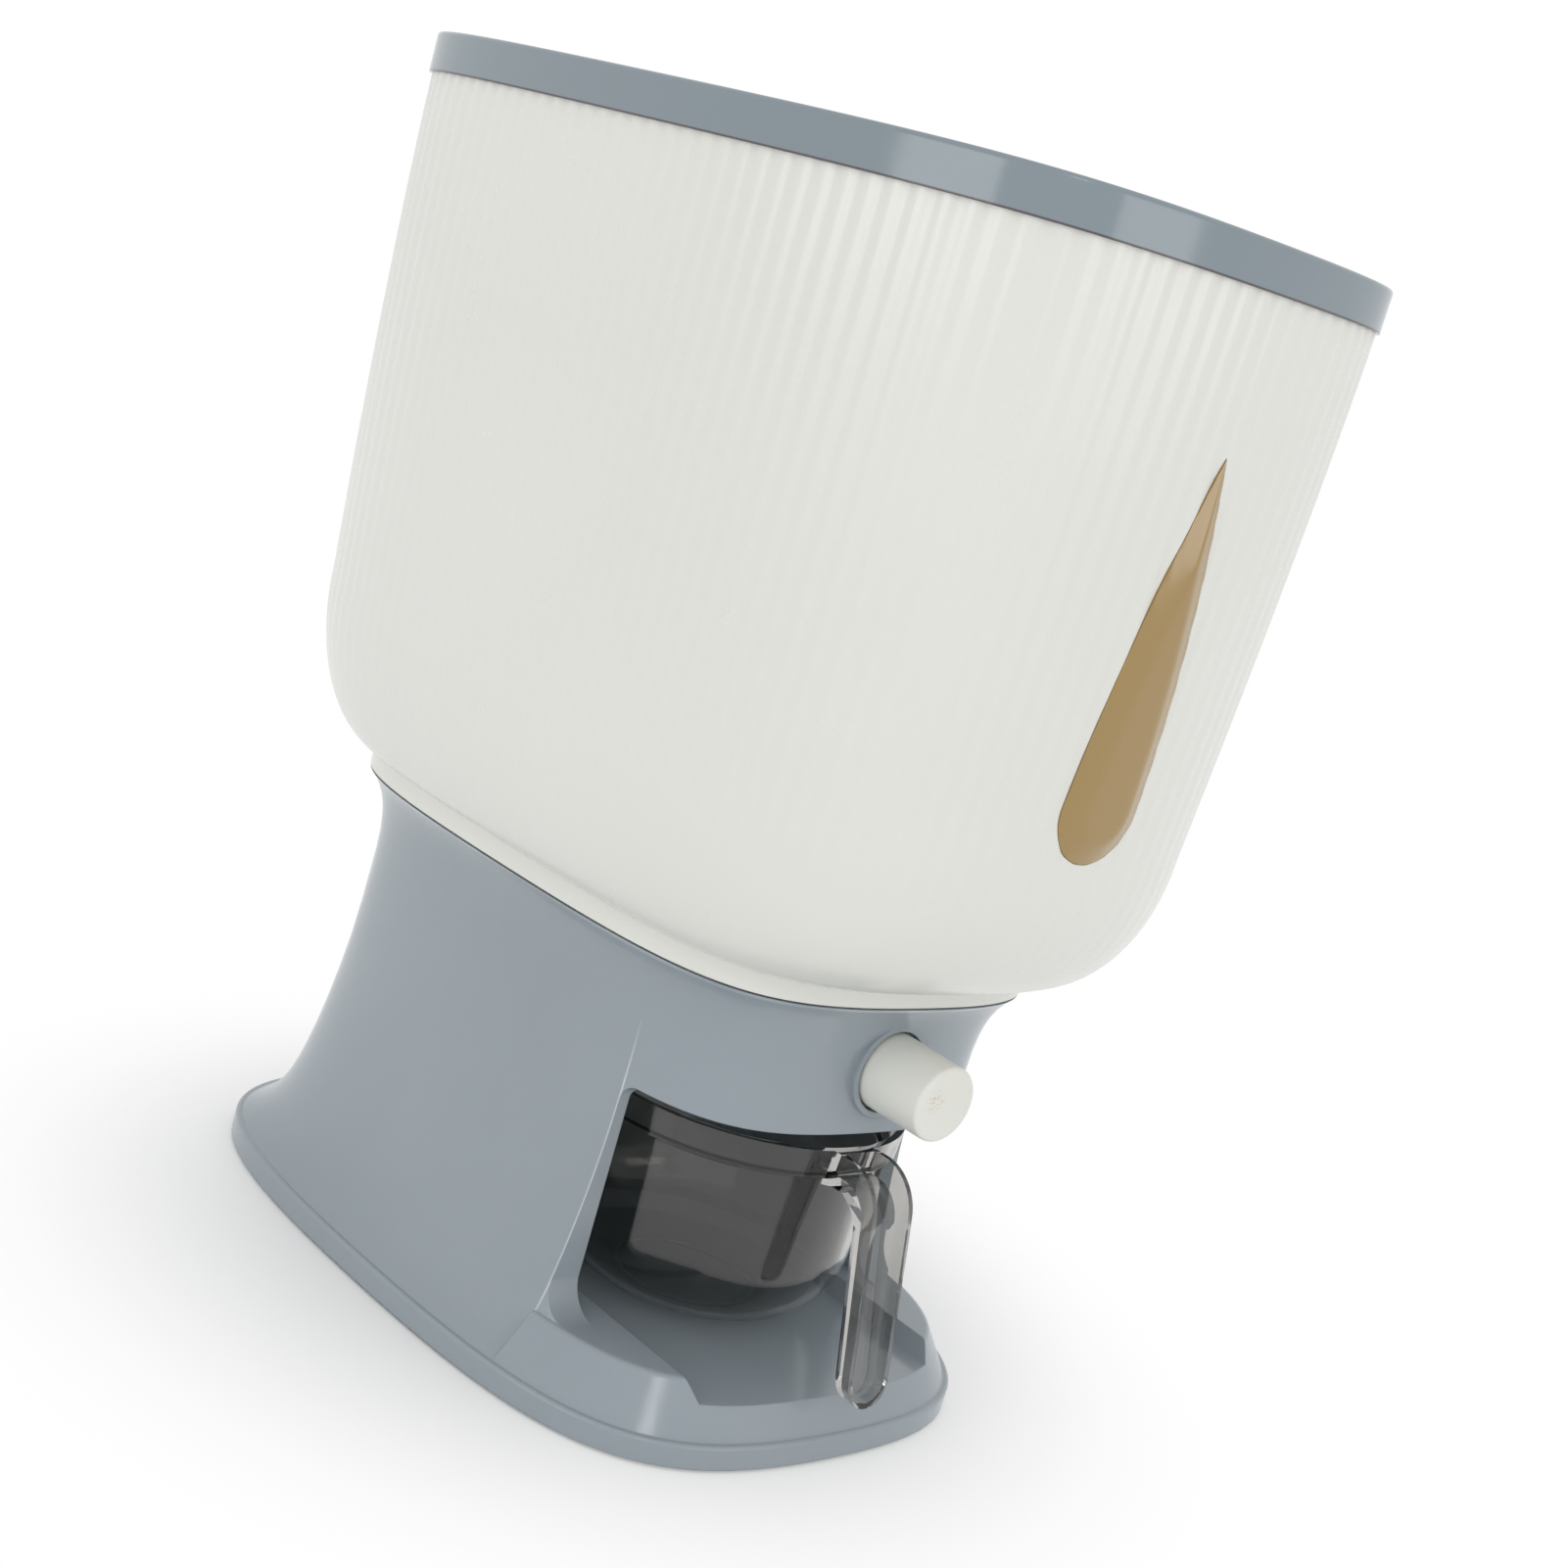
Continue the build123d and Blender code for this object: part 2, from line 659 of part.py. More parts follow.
# Bottom plate: closes the base from below and holds the feet
with BuildPart() as base_bottom:
    plate_inset = base_wall + plate_fit
    plate_half_width = foot_half_width - plate_inset
    plate_half_depth = foot_half_depth - plate_inset
    extrude(oblong(plate_bottom, plate_half_width, plate_half_depth, foot_fullness), amount=plate_thickness)
    screw_seat = plate_bottom + screw_sink
    post(base_spots, screw_head_radius + screw_head_fit, plate_bottom, screw_seat, Mode.SUBTRACT)
    post(base_spots, screw_radius + screw_fit, plate_bottom, plate_top, Mode.SUBTRACT)
    foot_spots = mirrored([(foot_x, -foot_y), (foot_x, foot_y)])
    foot_top = plate_bottom + foot_recess
    post(foot_spots, foot_radius + foot_fit, plate_bottom, foot_top, Mode.SUBTRACT)
base_bottom.part.label = "base_bottom"
export_step(base_bottom.part, "parts/base_bottom.step")

# Feet: rubber discs in the plate's recesses, down to the floor
for number, spot in enumerate(foot_spots, start=1):
    with BuildPart() as foot:
        post([spot], foot_radius, 0.0, foot_top)
    foot.part.label = f"foot_{number}"
    export_step(foot.part, f"parts/foot_{number}.step")

# Screws: of the bottom plate, of the housing with its chute, and of the bucket
with BuildPart() as base_screws:
    screws(base_spots, screw_seat, base_screw_length)
base_screws.part.label = "base_screws"
export_step(base_screws.part, "parts/base_screws.step")

with BuildPart() as housing_screws:
    screws(housing_screw_spots, roof_top, housing_screw_length, upwards=False)
housing_screws.part.label = "housing_screws"
export_step(housing_screws.part, "parts/housing_screws.step")

with BuildPart() as bucket_screws:
    screws(bucket_screw_spots, ledge_bottom, bucket_screw_length)
bucket_screws.part.label = "bucket_screws"
export_step(bucket_screws.part, "parts/bucket_screws.step")

# Button: a hollow, slightly tapered cap with a boss for the stem
face_inside = button_face_y + button_wall
boss_end = face_inside + button_boss_length
push_axis = Axis((0, 0, button_height), (0, -1, 0))
push_plane = Plane(origin=(0, 0, button_height), x_dir=(0, -1, 0), z_dir=(1, 0, 0))


def cap_half_section(face_y, inset):
    """Half section of the tapered cap from its face to the skirt's end, drawn in by a margin."""
    with BuildSketch(push_plane) as half:
        with BuildLine():
            Polyline(
                (-face_y, 0.0),
                (-face_y, button_face_radius - inset),
                (-button_skirt_end, button_radius - inset),
                (-button_skirt_end, 0.0),
                close=True,
            )
        make_face()
    return half.sketch


with BuildPart() as button:
    revolve(cap_half_section(button_face_y, 0.0), axis=push_axis)
    fillet(button.edges().group_by(Axis.Y)[0], radius=button_edge_radius)
    revolve(cap_half_section(face_inside, button_wall), axis=push_axis, mode=Mode.SUBTRACT)
    rod(button_boss_radius, face_inside, boss_end)
    rod(stem_radius + stem_fit, stem_front, boss_end, Mode.SUBTRACT)
button.part.label = "button"
export_step(button.part, "parts/button.step")

# Guide: a sleeve for the button, with the spring's seat at its back
seat_front = guide_back - guide_seat
with BuildPart() as button_guide:
    rod(guide_radius, guide_front, guide_back)
    rod(button_radius + guide_bore_fit, guide_front, seat_front, Mode.SUBTRACT)
    rod(stem_radius + stem_hole_fit, seat_front, guide_back, Mode.SUBTRACT)
button_guide.part.label = "button_guide"
export_step(button_guide.part, "parts/button_guide.step")

# Stem: a rod from the button to the gate, with a clevis for the gate's tongue
with BuildPart() as button_stem:
    rod(stem_radius, stem_front, stem_back)
    clevis_front = tongue_front - clevis_fit
    clevis_bottom = gate_bottom - clevis_fit
    clevis_top = gate_top + clevis_fit
    box_between(2.0 * stem_radius, clevis_front, stem_back, clevis_bottom, clevis_top, Mode.SUBTRACT)
    pin_hole = (button_height - stem_radius, button_height + stem_radius)
    post([(0, pin_y)], pin_radius + pin_fit, pin_hole[0], pin_hole[1], Mode.SUBTRACT)
button_stem.part.label = "button_stem"
export_step(button_stem.part, "parts/button_stem.step")

with BuildPart() as stem_pin:
    post([(0, pin_y)], pin_radius, button_height - pin_half_length, button_height + pin_half_length)
stem_pin.part.label = "stem_pin"
export_step(stem_pin.part, "parts/stem_pin.step")

# Spring: a coil between the button's boss and the guide's seat
spring_run = seat_front - boss_end - 2.0 * spring_wire_radius
with BuildPart() as return_spring:
    with BuildLine() as coil:
        Helix(
            pitch=spring_run / spring_turns,
            height=spring_run,
            radius=spring_radius,
            center=(0, boss_end + spring_wire_radius, button_height),
            direction=(0, 1, 0),
        )
    with BuildSketch(Plane(origin=coil.line @ 0, z_dir=coil.line % 0)):
        Circle(spring_wire_radius)
    sweep(is_frenet=True)
return_spring.part.label = "return_spring"
export_step(return_spring.part, "parts/return_spring.step")

# Cup: a round bowl with a straight collar, and a trough handle that reaches down in front
collar_bottom = cup_rim_height - cup_collar_height
cup_bottom = channel_floor + cup_foot_height
step_slope = cup_step_height / cup_step
cup_axis = Axis((0, cup_y, 0), (0, 0, 1))


def cup_half_section(inset):
    """Half section of the cup's outside, or of its inside when drawn in by the wall."""
    bottom = cup_bottom + inset
    round_radius = cup_bottom_radius - inset
    flat = cup_belly_radius - cup_bottom_radius
    lift = inset * (hypot(1.0, step_slope) - step_slope)
    collar_radius_low = cup_rim_radius - cup_collar_draft - inset
    slant = round_radius * sin(radians(45.0))
    with BuildSketch(Plane.XZ.offset(-cup_y)) as half:
        with BuildLine():
            Line((0.0, bottom), (flat, bottom))
            belly_foot = (cup_belly_radius - inset, bottom + round_radius)
            arc_middle = (flat + slant, bottom + round_radius - slant)
            ThreePointArc((flat, bottom), arc_middle, belly_foot)
            Polyline(
                belly_foot,
                (collar_radius_low - cup_step, collar_bottom - cup_step_height + lift),
                (collar_radius_low, collar_bottom + lift),
                (cup_rim_radius - inset, cup_rim_height),
                (0.0, cup_rim_height),
                (0.0, bottom),
            )
        make_face()
    return half.sketch


def handle_bar(inset):
    """Upright bar with a round lower end, as wide as the handle, drawn in by a margin."""
    half_width = handle_half_width - inset
    low = handle_rear_foot[1] + handle_half_width
    with BuildSketch(Plane.XZ) as face:
        with Locations((0, low)):
            Circle(half_width)
        with Locations((0, (low + cup_rim_height) / 2.0 + handle_half_width)):
            Rectangle(2.0 * half_width, cup_rim_height - low + 2.0 * handle_half_width)
    return face.sketch


root_y = cup_y - cup_rim_radius + cup_wall
handle_reach = -handle_front_foot[0] + handle_half_width
with BuildPart() as handle:
    with BuildSketch(Plane.YZ):
        with BuildLine():
            FilletPolyline(
                (root_y, cup_rim_height),
                handle_top_corner,
                handle_front_foot,
                radius=handle_top_radius,
            )
            Line(handle_front_foot, handle_rear_foot)
            FilletPolyline(
                handle_rear_foot,
                handle_inner_corner,
                (root_y, handle_root_bottom),
                radius=handle_inner_radius,
            )
            Line((root_y, handle_root_bottom), (root_y, cup_rim_height))
        make_face()
    extrude(amount=handle_half_width, both=True)
    extrude(handle_bar(0.0), amount=handle_reach, mode=Mode.INTERSECT)

rear_run = (handle_rear_foot[0] - handle_inner_corner[0], handle_rear_foot[1] - handle_inner_corner[1])
floor_shift = handle_wall * hypot(*rear_run) / -rear_run[1]
floor_top_corner = (handle_inner_corner[0] - floor_shift, handle_inner_corner[1] + handle_wall)
floor_foot = (handle_rear_foot[0] - floor_shift, handle_rear_foot[1])
with BuildPart() as handle_pocket:
    with BuildSketch(Plane.YZ):
        with BuildLine():
            pocket_top = cup_rim_height + handle_half_width
            FilletPolyline(
                (handle_pocket_y, pocket_top),
                (handle_pocket_y, handle_inner_corner[1]),
                floor_top_corner,
                floor_foot,
                radius=[handle_wall, handle_inner_radius],
            )
            Polyline(
                floor_foot,
                (-handle_reach, floor_foot[1]),
                (-handle_reach, pocket_top),
                (handle_pocket_y, pocket_top),
            )
        make_face()
    extrude(amount=handle_half_width, both=True)
    extrude(handle_bar(handle_wall), amount=handle_reach, mode=Mode.INTERSECT)

with BuildPart() as cup:
    revolve(cup_half_section(0.0), axis=cup_axis)
    add(handle.part)
    add(handle_pocket.part, mode=Mode.SUBTRACT)
    revolve(cup_half_section(cup_wall), axis=cup_axis, mode=Mode.SUBTRACT)
    post([(0, cup_y)], cup_foot_radius, channel_floor, cup_bottom + cup_foot_height / 2.0)
    inner_foot_radius = cup_foot_radius - cup_foot_width
    post([(0, cup_y)], inner_foot_radius, channel_floor, cup_bottom, Mode.SUBTRACT)
cup.part.label = "cup"
export_step(cup.part, "parts/cup.step")
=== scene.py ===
from math import cos, pi, radians, sin, sqrt

import bmesh
import bpy
from mathutils import Matrix, Vector


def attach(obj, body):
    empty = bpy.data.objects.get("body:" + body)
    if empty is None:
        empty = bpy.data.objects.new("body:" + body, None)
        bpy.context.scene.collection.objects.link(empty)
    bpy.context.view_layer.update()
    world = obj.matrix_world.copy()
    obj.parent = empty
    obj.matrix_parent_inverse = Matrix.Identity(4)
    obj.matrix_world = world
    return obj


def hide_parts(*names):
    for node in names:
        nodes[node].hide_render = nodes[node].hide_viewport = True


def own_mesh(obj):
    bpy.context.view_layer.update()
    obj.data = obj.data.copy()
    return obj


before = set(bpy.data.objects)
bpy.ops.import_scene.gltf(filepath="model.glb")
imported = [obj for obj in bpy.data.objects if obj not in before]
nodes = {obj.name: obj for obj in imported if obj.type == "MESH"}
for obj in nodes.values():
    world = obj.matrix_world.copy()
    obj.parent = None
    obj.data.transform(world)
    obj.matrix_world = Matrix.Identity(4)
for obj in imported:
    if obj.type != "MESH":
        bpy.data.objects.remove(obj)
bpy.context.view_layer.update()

# Camera
# The dispenser is seen from its left front corner, from a little below the top of the bucket,
# and the camera is rolled, so that the object leans to the left in the picture.
camera_place = Vector((-0.5265, -0.5471, 0.3375))
camera_heading = radians(45.69)
camera_dip = radians(11.79)
camera_roll = radians(16.21)
camera_lens = 54.1
camera_sensor = 36.0
view_distance = 60.0

level_reach = cos(camera_dip)
forward = Vector((sin(camera_heading) * level_reach, cos(camera_heading) * level_reach, -sin(camera_dip)))
level_right = Vector((cos(camera_heading), -sin(camera_heading), 0.0))
level_up = level_right.cross(forward)
right = level_right * cos(camera_roll) + level_up * sin(camera_roll)
up = level_up * cos(camera_roll) - level_right * sin(camera_roll)
camera = bpy.data.objects.new("camera", bpy.data.cameras.new("camera"))
camera.data.lens = camera_lens
camera.data.sensor_width = camera_sensor
camera.data.clip_end = view_distance
camera.matrix_world = Matrix((right, up, -forward)).transposed().to_4x4()
camera.matrix_world.translation = camera_place
bpy.context.scene.collection.objects.link(camera)
bpy.context.scene.camera = camera
bpy.context.scene.view_settings.view_transform = "Standard"

# Floor and daylight
# A flat white floor that takes the dispenser's shadow and runs out into plain white,
# under an even white sky.
floor_reach = 12.0
floor_white = (0.93, 0.93, 0.925)
shadow_reach = 0.06
white_reach = 0.25
sky_strength = 0.86

floor_mesh = bmesh.new()
bmesh.ops.create_circle(floor_mesh, cap_ends=True, segments=96, radius=floor_reach)
floor_data = bpy.data.meshes.new("floor")
floor_mesh.to_mesh(floor_data)
floor_mesh.free()
floor = bpy.data.objects.new("floor", floor_data)
bpy.context.scene.collection.objects.link(floor)

floor_material = bpy.data.materials.new("white_sweep")
floor_material.use_nodes = True
floor_nodes = floor_material.node_tree.nodes
floor_links = floor_material.node_tree.links
floor_shader = floor_nodes["Principled BSDF"]
floor_shader.inputs["Base Color"].default_value = (*floor_white, 1.0)
floor_shader.inputs["Roughness"].default_value = 0.8
floor_shader.inputs["Specular IOR Level"].default_value = 0.2
floor_glow = floor_nodes.new("ShaderNodeEmission")
floor_rays = floor_nodes.new("ShaderNodeLightPath")
floor_seen = floor_nodes.new("ShaderNodeMath")
floor_seen.operation = "MAXIMUM"
floor_place = floor_nodes.new("ShaderNodeTexCoord")
floor_distance = floor_nodes.new("ShaderNodeVectorMath")
floor_distance.operation = "LENGTH"
floor_fade = floor_nodes.new("ShaderNodeMapRange")
floor_fade.interpolation_type = "SMOOTHERSTEP"
floor_fade.inputs["From Min"].default_value = shadow_reach
floor_fade.inputs["From Max"].default_value = white_reach
floor_mirrored = floor_nodes.new("ShaderNodeMath")
floor_mirrored.operation = "MAXIMUM"
floor_amount = floor_nodes.new("ShaderNodeMath")
floor_amount.operation = "MULTIPLY"
floor_mix = floor_nodes.new("ShaderNodeMixShader")
floor_links.new(floor_place.outputs["Object"], floor_distance.inputs[0])
floor_links.new(floor_distance.outputs["Value"], floor_fade.inputs["Value"])
floor_links.new(floor_rays.outputs["Is Camera Ray"], floor_seen.inputs[0])
floor_links.new(floor_rays.outputs["Is Transmission Ray"], floor_seen.inputs[1])
floor_links.new(floor_seen.outputs["Value"], floor_mirrored.inputs[0])
floor_links.new(floor_rays.outputs["Is Glossy Ray"], floor_mirrored.inputs[1])
floor_links.new(floor_mirrored.outputs["Value"], floor_amount.inputs[0])
floor_links.new(floor_fade.outputs["Result"], floor_amount.inputs[1])
floor_links.new(floor_amount.outputs["Value"], floor_mix.inputs["Fac"])
floor_links.new(floor_shader.outputs["BSDF"], floor_mix.inputs[1])
floor_links.new(floor_glow.outputs["Emission"], floor_mix.inputs[2])
floor_links.new(floor_mix.outputs["Shader"], floor_nodes["Material Output"].inputs["Surface"])
floor_data.materials.append(floor_material)

sky = bpy.data.worlds.new("sky")
bpy.context.scene.world = sky
sky.use_nodes = True
sky_nodes = sky.node_tree.nodes
sky_links = sky.node_tree.links
sky_light = sky_nodes["Background"]
sky_light.inputs["Color"].default_value = (1.0, 1.0, 1.0, 1.0)
sky_light.inputs["Strength"].default_value = sky_strength
sky_white = sky_nodes.new("ShaderNodeBackground")
sky_white.inputs["Color"].default_value = (1.0, 1.0, 1.0, 1.0)
sky_rays = sky_nodes.new("ShaderNodeLightPath")
sky_seen = sky_nodes.new("ShaderNodeMath")
sky_seen.operation = "MAXIMUM"
sky_mirrored = sky_nodes.new("ShaderNodeMath")
sky_mirrored.operation = "MAXIMUM"
sky_mix = sky_nodes.new("ShaderNodeMixShader")
sky_links.new(sky_rays.outputs["Is Camera Ray"], sky_seen.inputs[0])
sky_links.new(sky_rays.outputs["Is Transmission Ray"], sky_seen.inputs[1])
sky_links.new(sky_seen.outputs["Value"], sky_mirrored.inputs[0])
sky_links.new(sky_rays.outputs["Is Glossy Ray"], sky_mirrored.inputs[1])
sky_links.new(sky_mirrored.outputs["Value"], sky_mix.inputs["Fac"])
sky_links.new(sky_light.outputs["Background"], sky_mix.inputs[1])
sky_links.new(sky_white.outputs["Background"], sky_mix.inputs[2])
sky_links.new(sky_mix.outputs["Shader"], sky_nodes["World Output"].inputs["Surface"])


def soft_box(name, place, aim, width, height, watts):
    """Rectangular studio lamp at a place, turned to a point."""
    lamp = bpy.data.lights.new(name, "AREA")
    lamp.shape = "RECTANGLE"
    lamp.size = width
    lamp.size_y = height
    lamp.energy = watts
    holder = bpy.data.objects.new(name, lamp)
    holder.matrix_world = (Vector(place) - Vector(aim)).to_track_quat("Z", "Y").to_matrix().to_4x4()
    holder.matrix_world.translation = place
    bpy.context.scene.collection.objects.link(holder)


soft_box("key_lamp", (-1.1, -1.7, 1.5), (0.0, 0.0, 0.2), 0.4, 0.4, 3.0)
soft_box("left_lamp", (-1.98, -0.02, 0.47), (-0.09, -0.11, 0.38), 1.25, 0.4, 4.2)
soft_box("front_lamp", (0.37, -2.05, 0.47), (-0.05, -0.155, 0.38), 1.3, 0.4, 3.8)

# Base shell
# The blue-grey foot of the dispenser, one moulding with its head, its alcove and the cup's channel.
# It is glossy ABS, straight from the mould, with a faint flow in its colour and a fine skin.
base_colour = (0.290, 0.332, 0.363)
base_shade = (0.272, 0.313, 0.345)
# Lighter colour of the painted highlights along the alcove's edge and under the base's rim.
painted_highlight_colour = (0.52, 0.57, 0.60)


def group_socket(group, name, kind, in_out, value=None):
    """Named socket of a shader node group."""
    socket = group.interface.new_socket(name=name, in_out=in_out, socket_type=kind)
    if value is not None:
        socket.default_value = value


def new_node(tree, kind, **settings):
    """Node of a tree, with its settings."""
    node = tree.nodes.new(kind)
    for key, value in settings.items():
        setattr(node, key, value)
    return node


moulded_skin = bpy.data.node_groups.new("moulded_skin", "ShaderNodeTree")
group_socket(moulded_skin, "Colour", "NodeSocketColor", "INPUT")
group_socket(moulded_skin, "Shade", "NodeSocketColor", "INPUT")
group_socket(moulded_skin, "Roughness", "NodeSocketFloat", "INPUT", 0.3)
group_socket(moulded_skin, "Gloss Spread", "NodeSocketFloat", "INPUT", 0.1)
group_socket(moulded_skin, "Grain", "NodeSocketFloat", "INPUT", 0.3)
group_socket(moulded_skin, "Ripple", "NodeSocketFloat", "INPUT", 0.2)
group_socket(moulded_skin, "Edge Radius", "NodeSocketFloat", "INPUT", 0.0)
group_socket(moulded_skin, "Colour", "NodeSocketColor", "OUTPUT")
group_socket(moulded_skin, "Roughness", "NodeSocketFloat", "OUTPUT")
group_socket(moulded_skin, "Normal", "NodeSocketVector", "OUTPUT")
skin_in = new_node(moulded_skin, "NodeGroupInput")
skin_out = new_node(moulded_skin, "NodeGroupOutput")
skin_place = new_node(moulded_skin, "ShaderNodeTexCoord")


def skin_noise(scale, detail):
    """Noise on the piece's own coordinates."""
    noise = new_node(moulded_skin, "ShaderNodeTexNoise")
    noise.inputs["Scale"].default_value = scale
    noise.inputs["Detail"].default_value = detail
    moulded_skin.links.new(skin_place.outputs["Object"], noise.inputs["Vector"])
    return noise.outputs["Fac"]


def skin_range(value, low, high, to_low=0.0, to_high=1.0):
    """Stretch of a value from one range to another."""
    stretch = new_node(moulded_skin, "ShaderNodeMapRange")
    for socket, number in zip(("From Min", "From Max", "To Min", "To Max"), (low, high, to_low, to_high)):
        stretch.inputs[socket].default_value = number
    moulded_skin.links.new(value, stretch.inputs["Value"])
    return stretch.outputs["Result"]


def skin_math(operation, first, second):
    """Result of a mathematical operation on two values."""
    node = new_node(moulded_skin, "ShaderNodeMath", operation=operation)
    for socket, value in zip(node.inputs, (first, second)):
        if isinstance(value, float):
            socket.default_value = value
        else:
            moulded_skin.links.new(value, socket)
    return node.outputs["Value"]


flow = skin_range(skin_noise(11.0, 3.0), 0.32, 0.68)
speck = skin_range(skin_noise(420.0, 1.0), 0.735, 0.77, 0.0, 0.5)
tone = new_node(moulded_skin, "ShaderNodeMix", data_type="RGBA")
moulded_skin.links.new(skin_math("MAXIMUM", flow, speck), tone.inputs["Factor"])
moulded_skin.links.new(skin_in.outputs["Colour"], tone.inputs["A"])
moulded_skin.links.new(skin_in.outputs["Shade"], tone.inputs["B"])
moulded_skin.links.new(tone.outputs["Result"], skin_out.inputs["Colour"])
gloss_noise = skin_range(skin_noise(38.0, 4.0), 0.3, 0.7, -0.5, 0.5)
gloss = skin_math("MULTIPLY", gloss_noise, skin_in.outputs["Gloss Spread"])
moulded_skin.links.new(skin_math("ADD", gloss, skin_in.outputs["Roughness"]), skin_out.inputs["Roughness"])
soft_edge = new_node(moulded_skin, "ShaderNodeBevel", samples=6)
moulded_skin.links.new(skin_in.outputs["Edge Radius"], soft_edge.inputs["Radius"])
ripple = new_node(moulded_skin, "ShaderNodeBump")
moulded_skin.links.new(soft_edge.outputs["Normal"], ripple.inputs["Normal"])
ripple.inputs["Distance"].default_value = 0.0012
moulded_skin.links.new(skin_noise(26.0, 1.0), ripple.inputs["Height"])
moulded_skin.links.new(skin_in.outputs["Ripple"], ripple.inputs["Strength"])
grain = new_node(moulded_skin, "ShaderNodeBump")
grain.inputs["Distance"].default_value = 0.00006
moulded_skin.links.new(skin_noise(1500.0, 2.0), grain.inputs["Height"])
moulded_skin.links.new(skin_in.outputs["Grain"], grain.inputs["Strength"])
moulded_skin.links.new(ripple.outputs["Normal"], grain.inputs["Normal"])
moulded_skin.links.new(grain.outputs["Normal"], skin_out.inputs["Normal"])


def moulded_plastic(name, colour, shade, roughness, spread, grain_amount, ripple_amount, edge=0.0):
    """Plastic as it comes from the mould, painted by the shared skin."""
    material = bpy.data.materials.new(name)
    material.use_nodes = True
    tree = material.node_tree
    shader = tree.nodes["Principled BSDF"]
    skin = new_node(tree, "ShaderNodeGroup", node_tree=moulded_skin)
    skin.inputs["Colour"].default_value = (*colour, 1.0)
    skin.inputs["Shade"].default_value = (*shade, 1.0)
    skin.inputs["Roughness"].default_value = roughness
    skin.inputs["Gloss Spread"].default_value = spread
    skin.inputs["Grain"].default_value = grain_amount
    skin.inputs["Ripple"].default_value = ripple_amount
    skin.inputs["Edge Radius"].default_value = edge
    tree.links.new(skin.outputs["Colour"], shader.inputs["Base Color"])
    tree.links.new(skin.outputs["Roughness"], shader.inputs["Roughness"])
    tree.links.new(skin.outputs["Normal"], shader.inputs["Normal"])
    shader.inputs["IOR"].default_value = 1.5
    return material


def dress(node, material):
    """Gives a CAD node its finish."""
    nodes[node].data.materials.clear()
    nodes[node].data.materials.append(material)


base_plastic = moulded_plastic("base_plastic", base_colour, base_shade, 0.18, 0.06, 0.15, 0.05, 0.0006)
base_tree = base_plastic.node_tree
base_place = new_node(base_tree, "ShaderNodeTexCoord")
base_axes = new_node(base_tree, "ShaderNodeSeparateXYZ")
base_tree.links.new(base_place.outputs["Object"], base_axes.inputs["Vector"])


def base_band(value, low, rise, fall, high):
    """One between rise and fall, and falling off to nothing at low and high."""
    up = new_node(base_tree, "ShaderNodeMapRange")
    down = new_node(base_tree, "ShaderNodeMapRange")
    both = new_node(base_tree, "ShaderNodeMath", operation="MULTIPLY")
    for stretch, first, last in ((up, low, rise), (down, high, fall)):
        stretch.inputs["From Min"].default_value = first
        stretch.inputs["From Max"].default_value = last
        base_tree.links.new(value, stretch.inputs["Value"])
        base_tree.links.new(stretch.outputs["Result"], both.inputs[0 if stretch is up else 1])
    return both.outputs["Value"]


def base_product(first, second):
    """Product of two masks."""
    both = new_node(base_tree, "ShaderNodeMath", operation="MULTIPLY")
    base_tree.links.new(first, both.inputs[0])
    base_tree.links.new(second, both.inputs[1])
    return both.outputs["Value"]


# Painted highlight: a thin light line along the edge where the flank meets the alcove's frame, fading out up
# the head.
crease_heights = (0.010, 0.030, 0.098, 0.120)
crease_places = (-0.0686, -0.0683, -0.0680, -0.0677)
crease_span = base_band(base_axes.outputs["Z"], *crease_heights)
crease_painted_highlight = base_product(base_band(base_axes.outputs["Y"], *crease_places), crease_span)
base_facing = new_node(base_tree, "ShaderNodeNewGeometry")
base_turn = new_node(base_tree, "ShaderNodeSeparateXYZ")
base_aside = new_node(base_tree, "ShaderNodeMath", operation="ABSOLUTE")
base_tree.links.new(base_facing.outputs["Normal"], base_turn.inputs["Vector"])
base_tree.links.new(base_turn.outputs["X"], base_aside.inputs[0])
crease_painted_highlight = base_product(crease_painted_highlight, base_band(base_aside.outputs["Value"], 0.55, 0.65, 1.5, 2.0))
base_flow = new_node(base_tree, "ShaderNodeTexNoise")
base_flow.inputs["Scale"].default_value = 14.0
base_tree.links.new(base_place.outputs["Object"], base_flow.inputs["Vector"])
base_span = base_band(base_flow.outputs["Fac"], 0.35, 0.65, 2.0, 3.0)
# Painted highlight: a broken light line just under the base's top rim, below the seam with the bucket's neck.
rim_heights = (0.1401, 0.1405, 0.1420, 0.1430)
rim_painted_highlight = base_product(base_band(base_axes.outputs["Z"], *rim_heights), base_span)
base_painted_highlights = new_node(base_tree, "ShaderNodeMath", operation="MAXIMUM")
base_tree.links.new(crease_painted_highlight, base_painted_highlights.inputs[0])
base_tree.links.new(rim_painted_highlight, base_painted_highlights.inputs[1])
# Both painted highlights lighten the base's colour towards the lighter highlight colour.
painted_highlight_mix = new_node(base_tree, "ShaderNodeMix", data_type="RGBA")
painted_highlight_mix.inputs["B"].default_value = (*painted_highlight_colour, 1.0)
base_skin = next(node for node in base_tree.nodes if node.type == "GROUP")
base_shader = base_tree.nodes["Principled BSDF"]
base_tree.links.new(base_painted_highlights.outputs["Value"], painted_highlight_mix.inputs["Factor"])
base_tree.links.new(base_skin.outputs["Colour"], painted_highlight_mix.inputs["A"])
base_tree.links.new(painted_highlight_mix.outputs["Result"], base_shader.inputs["Base Color"])
dress("base", base_plastic)

